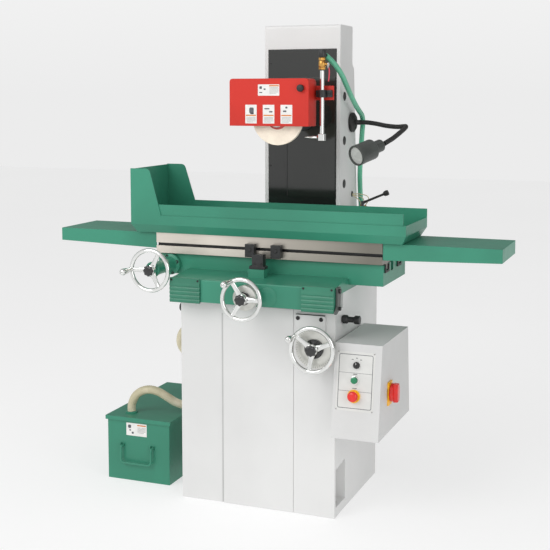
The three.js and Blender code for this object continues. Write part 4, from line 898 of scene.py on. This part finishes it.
# A thin grey strip in the corner of the base's front step, painted as the step's shadow.
piece("base_step_painted_shadow", "root", [(block((-122.5, 3.2, 3), (-116.2, 4.2, 640)), "seam")])
piece("stop_screws", "saddle", [(socket_screw((x, 24, 806), -Y, 4.2, 2.0), "black") for x in (-16, 7)])
for name, body, x in (("left", "left_dog", -46), ("right", "right_dog", 45)):
    piece(name + "_dog_screw", body, [(socket_screw((x, 56, 846), -Y, 7.5, 2.4), "rubber")])

# The saddle lock: a bent strap, as (y, z), on a pivot on the saddle's side.
LOCK = Vector((0, -24, 715))
STRAP = [(-38, 756), (-11, 756), (-8, 753), (-9.5, 690), (-13, 685), (-46, 674.2), (-53, 674.4), (-57, 677),
         (-55, 681), (-40, 701), (-40, 753)]
stand_in("saddle_lock_lever", "saddle_lock", [
    (slab(LOCK + X * 284, Y, Z, [(y - LOCK.y, z - LOCK.z) for y, z in STRAP], [(0, 0), (5, 0), (6, 0.8)]),
     "charcoal"),
    (lathe((282.4, -24, 744), X, [(8, 0), (8, 8), (0, 8)], 28), "black"),
    (hex_nut((289.8, -24, 744), X, 8, 6), "black"),
    (socket_screw((283.4, -26, 689), X, 6, 13), "black")])
WIPER_INNER, WIPER_OUTER = 397.3, 401
# Each way wiper is two uprights and a foot, as (front, rear, top) from the middle of its way.
WIPER_BARS = ((-24, -15, 812), (15, 24, 812), (-16, 16, 794))
for side, side_name in ((1, "right"), (-1, "left")):
    inner, outer = sorted((side * WIPER_INNER, side * WIPER_OUTER))
    for way in (132, 282):
        piece(f"way_wiper_{side_name}_{way}", "saddle", [
            (block((inner, way + front, 787), (outer, way + rear, top)), "rubber")
            for front, rear, top in WIPER_BARS])
# A thin black sheet at the back of the table's slot, painted as the slot's shade.
piece("table_slot_back_shadow", "table", [(block((-397.6, 93.4, 836.4), (397.6, 93.9, 855.6)), "black")])
# A thin black strip along the slide plate's left edge, painted as the shadow in the gap between plate and
# head.
piece("slide_plate_gap_shadow", "head", [(block((-54.9, 427.4, 990.5), (-53.4, 432.4, 1411.5)), "black")])

# ---------- lubrication pump ----------
LUBE = Vector((186, 572, 0))
stand_in("lube_pump", "root", [
    (lathe(LUBE, Z, [(0, 868), (24, 868), (26, 870), (26, 884), (25, 885)], 40), "cast"),
    (lathe(LUBE, Z, [(24.6, 884), (24.6, 912)], 40), "glass"),
    (lathe(LUBE, Z, [(26, 911), (26, 928), (24.6, 930), (21, 932), (20, 934), (20, 946), (18, 948),
                     (14, 949.4), (0, 950)], 40), "cast"),
    (slab((163.6, 572, 908), Y, Z, rounded_outline(17.6, 31, 2), [(-22, 0), (20, 0)]), "cast"),
    (slab((186, 563, 955), X, Z, rounded_outline(9.6, 29, 2), [(-2.4, 0), (2.6, 0), (3, 0.4)]), "cast"),
    *[(lathe((x, 578, 944), Z, [(3.4, 0), (3.4, 8), (2.4, 10), (0, 10)], 16), "brass")
      for x in (176, 184, 192)]])
LEVER_START, LEVER_END = Vector((180, 572, 960)), Vector((280, 572, 1003))
LEVER_WAY = LEVER_END - LEVER_START
stand_in("lube_lever", "lube_lever", [
    (lathe(LEVER_START, LEVER_WAY, [(0, 0), (5, 0.4), (5, 14), (4.4, 18), (4.2, 88), (0, 88)], 24), "rubber"),
    (lathe(LEVER_START, LEVER_WAY, [(3, 86), (5.5, 88), (9.4, 94), (10.2, 101), (9.4, 107), (5.4, 107.6),
                                    (0, 108.2)], 32), "rubber"),
    (lathe(LUBE + Z * 962, Y, [(0, -4.6), (6, -4.6), (6, 4.8), (0, 4.8)], 28), "steel")])
OIL_LOOPS = (
    [(143, 578, 992), (156, 577, 993), (176, 575, 992), (198, 572, 988), (206, 572, 978), (202, 575, 966),
     (192, 578, 953)],
    [(143, 580, 989), (154, 581, 986), (168, 582, 984), (180, 582, 978), (186, 580, 968), (184, 578, 953)],
    [(143, 576, 989), (152, 574, 984), (162, 576, 976), (170, 579, 968), (176, 578, 953)],
)
piece("oil_lines", "root", [(tube(smooth_path(route, 2.5), 1.7, 12), "oil_line") for route in OIL_LOOPS])

# ---------- cabinet ----------
# The door's foot, and how far its front goes back over its height.
DOOR_FRONT, DOOR_BOTTOM = -66, 288
DOOR_RISE = 294.0
DOOR_LEAN = 41.0
DOOR_UP = Vector((0, DOOR_LEAN, DOOR_RISE)).normalized()
DOOR_OUT = Vector((0, -DOOR_RISE, DOOR_LEAN)).normalized()


def on_door(x, z, lift=0.0):
    """A point on the sloping door, or that far out from it."""
    return Vector((x, DOOR_FRONT + DOOR_LEAN / DOOR_RISE * (z - DOOR_BOTTOM), z)) + DOOR_OUT * lift


SELECTOR, START, STOP = (351, 517), (347, 471), (347, 422)
PANEL = (349, 467)
PRINT_LIFT = 0.45  # where print on the panel starts
# Bars of print as (x, z, width): three round the selector, and one above each button.
LEGENDS = [(SELECTOR[0] + 22 * sin(turn), SELECTOR[1] + 22 * cos(turn), 6.5)
           for turn in map(radians, (-38, 0, 38))]
LEGENDS += [(348, 489, 13), (348, 446, 15)]
panel_parts = [(plate(on_door(*PANEL), X, DOOR_UP, 122, 184, 0.5, 3, 0.1), "panel_plate"),
               (frame_line(on_door(*PANEL, 0.4), X, DOOR_UP, 110, 168, 1.7, 0.3, 6), "ink")]
panel_parts += [(plate(on_door(PANEL[0], z, PRINT_LIFT), X, DOOR_UP, 108, 0.9, 0.2), "ink")
                for z in (493, 437)]
panel_parts += [(plate(on_door(x, z, PRINT_LIFT), X, DOOR_UP, wide, 2.4, 0.2, 0.8), "print")
                for x, z, wide in LEGENDS]
panel_parts += [(socket_screw(on_door(x, z, 0.4), DOOR_OUT, 2.4, 1.4), "steel")
                for x in (291, 407) for z in (379, 555)]
piece("control_panel", "cabinet_door", panel_parts)

# Each control stands square to the door. Profiles are [(radius, distance out of the door)].
SELECTOR_PROFILE = [(6.8, -18), (6.8, 0.9), (10.4, 1), (10.8, 2), (10.4, 5), (9.4, 9), (8.6, 9.6), (0, 9.8)]
START_PROFILE = [(6.8, -18), (6.8, 5.6), (10, 5.8), (10.4, 6.4), (10.4, 10.6), (9.6, 11.8), (6, 12.8),
                 (0, 13)]
BEZEL_PROFILE = [(10.9, 0.5), (13.4, 0.5), (13.4, 3), (12.6, 4.6), (11.4, 5), (10.9, 4.6)]
STOP_PROFILE = [(7.8, -18), (7.8, 9), (9, 9.4), (13.6, 10.2), (16, 12.4), (16.5, 15), (16.2, 19), (14.8, 22),
                (11.6, 24.2), (7, 25), (0, 25)]
STOP_BASE = [(8.4, 0.5), (20.5, 0.5), (20.5, 4), (19.4, 5), (13, 5.2), (12.4, 8), (8.4, 8.2)]
stand_in("selector_switch", "selector", [
    (lathe(on_door(*SELECTOR), DOOR_OUT, SELECTOR_PROFILE, 40), "rubber"),
    (slab(on_door(*SELECTOR, 9.2), X, DOOR_UP, rounded_outline(4.2, 16, 1.6), [(0, 0), (1.4, 0.3)]), "black"),
    (plate(on_door(*SELECTOR, 10.5) + DOOR_UP * 5, X, DOOR_UP, 1.3, 7, 0.2), "paper")])
stand_in("start_button", "start", [(lathe(on_door(*START), DOOR_OUT, START_PROFILE, 40), "button_green")])
piece("start_button_bezel", "cabinet_door", [(lathe(on_door(*START), DOOR_OUT, BEZEL_PROFILE, 40), "chrome")])
stand_in("emergency_stop_button", "emergency_stop", [
    (lathe(on_door(*STOP), DOOR_OUT, STOP_PROFILE), "button_red")])
piece("emergency_stop_base", "cabinet_door", [(lathe(on_door(*STOP), DOOR_OUT, STOP_BASE), "yellow")])

ISOLATOR = Vector((0, 57, 417))
piece("isolator_plate", "root", [
    (slab((431, 57, 415), Y, Z, rounded_outline(48, 75, 5), [(0, 0), (3.2, 0), (4.2, 0.8)]), "yellow"),
    (lathe(ISOLATOR + X * 431, X, [(31, 3.8), (31, 5.6), (29, 6), (8, 6)], 48), "yellow")])
HANDLE_EDGE = [(9, -30), (13, -20), (16, 0), (13, 20), (9, 30)]
HANDLE_OUTLINE = [(-9, -30), *HANDLE_EDGE, *[(-y, z) for y, z in reversed(HANDLE_EDGE[1:])]]
stand_in("isolator_handle", "isolator", [
    (lathe(ISOLATOR, X, [(5.8, 417.5), (5.8, 437.4), (27, 437.6), (29, 439.4), (29, 445), (27, 449),
                         (0, 449.5)], 48, (8, 0.03)), "button_red"),
    (slab(ISOLATOR + X * 449, Y, Z, HANDLE_OUTLINE, [(-2, 0), (11, 1.2), (13, 3)]), "button_red")],
    bevel=0.5)
GLAND = Vector((354, 250, DOOR_BOTTOM))
piece("cable_gland", "root", [
    (hex_nut(GLAND, -Z, 13, 7), "rubber"),
    (lathe(GLAND - Z * 7, -Z, [(9.6, 0), (10.4, 4), (9.4, 12), (7.4, 14), (0, 14)], 32), "rubber")])

# ---------- drain hose fitting ----------
HOSE_CLIP = [(15.2, 706), (16.4, 706), (16.4, 716), (15.2, 716)]
piece("drain_hose_clip", "saddle", [(lathe((-310, 240, 0), Z, HOSE_CLIP, 40), "steel")])

# ---------- stage ----------
HALF_FLOOR = 14.0
FLOOR_GLOW = 0.58
FLOOR_LOOK = look("studio_floor", rgb(178, 178, 178), 0.9, tone=0.015, tone_scale=0.6, grain=40, bump=0.01,
                  specular=0.1)
floor_shader = FLOOR_LOOK.node_tree.nodes["Principled BSDF"]
floor_shader.inputs["Emission Color"].default_value = rgb(255, 255, 255)
floor_shader.inputs["Emission Strength"].default_value = FLOOR_GLOW
floor_mesh = bpy.data.meshes.new("floor")
corners = [(x * HALF_FLOOR, y * HALF_FLOOR, 0) for x, y in ((-1, -1), (1, -1), (1, 1), (-1, 1))]
floor_mesh.from_pydata(corners, [], [(0, 1, 2, 3)])
floor_mesh.materials.append(FLOOR_LOOK)
floor = bpy.data.objects.new("floor", floor_mesh)
SCENE.collection.objects.link(floor)

# The room: the camera sees a plain wall, paler higher up. The light itself comes mostly from the front left.
LIGHT_FROM = Vector((-0.35, -0.9, -0.25))
ROOM_LIGHT = (0.3, 0.9)  # from behind, and from the front left
WALL_LOW, WALL_HIGH = rgb(236, 236, 236), rgb(249, 249, 249)
world = bpy.data.worlds.new("studio")
world.use_nodes = True
nodes, links = world.node_tree.nodes, world.node_tree.links
room = nodes["Background"]
direction = nodes.new("ShaderNodeTexCoord")
towards = nodes.new("ShaderNodeVectorMath")
towards.operation = "DOT_PRODUCT"
towards.inputs[1].default_value = LIGHT_FROM.normalized()
links.new(direction.outputs["Generated"], towards.inputs[0])
links.new(map_range(nodes, links, towards.outputs["Value"], (-0.7, 0.8), ROOM_LIGHT), room.inputs["Color"])
wall = nodes.new("ShaderNodeBackground")
height = nodes.new("ShaderNodeSeparateXYZ")
links.new(direction.outputs["Generated"], height.inputs["Vector"])
fade = nodes.new("ShaderNodeMix")
fade.data_type = "RGBA"
fade.inputs["A"].default_value = WALL_LOW
fade.inputs["B"].default_value = WALL_HIGH
links.new(map_range(nodes, links, height.outputs["Z"], (0, 0.22)), fade.inputs["Factor"])
links.new(fade.outputs["Result"], wall.inputs["Color"])
path = nodes.new("ShaderNodeLightPath")
shown = nodes.new("ShaderNodeMixShader")
links.new(path.outputs["Is Camera Ray"], shown.inputs["Fac"])
links.new(room.outputs["Background"], shown.inputs[1])
links.new(wall.outputs["Background"], shown.inputs[2])
links.new(shown.outputs["Shader"], nodes["World Output"].inputs["Surface"])
SCENE.world = world
SCENE.view_settings.view_transform = "Standard"


def soft_light(name, place, aim, size, power):
    data = bpy.data.lights.new(name, "AREA")
    data.shape = "RECTANGLE"
    data.size, data.size_y = size
    data.energy = power
    lamp = bpy.data.objects.new(name, data)
    SCENE.collection.objects.link(lamp)
    lamp.location = place
    lamp.rotation_euler = (Vector(aim) - Vector(place)).to_track_quat("-Z", "Y").to_euler()


soft_light("key", (-1.6, -3.6, 3.2), (0, 0, 0.8), (2.4, 2.4), 60)
soft_light("fill", (3.2, -2.0, 1.6), (0, 0, 0.8), (2.0, 2.0), 24)
soft_light("top", (0.2, 0.4, 4.2), (0, 0, 0.6), (3.0, 3.0), 8)
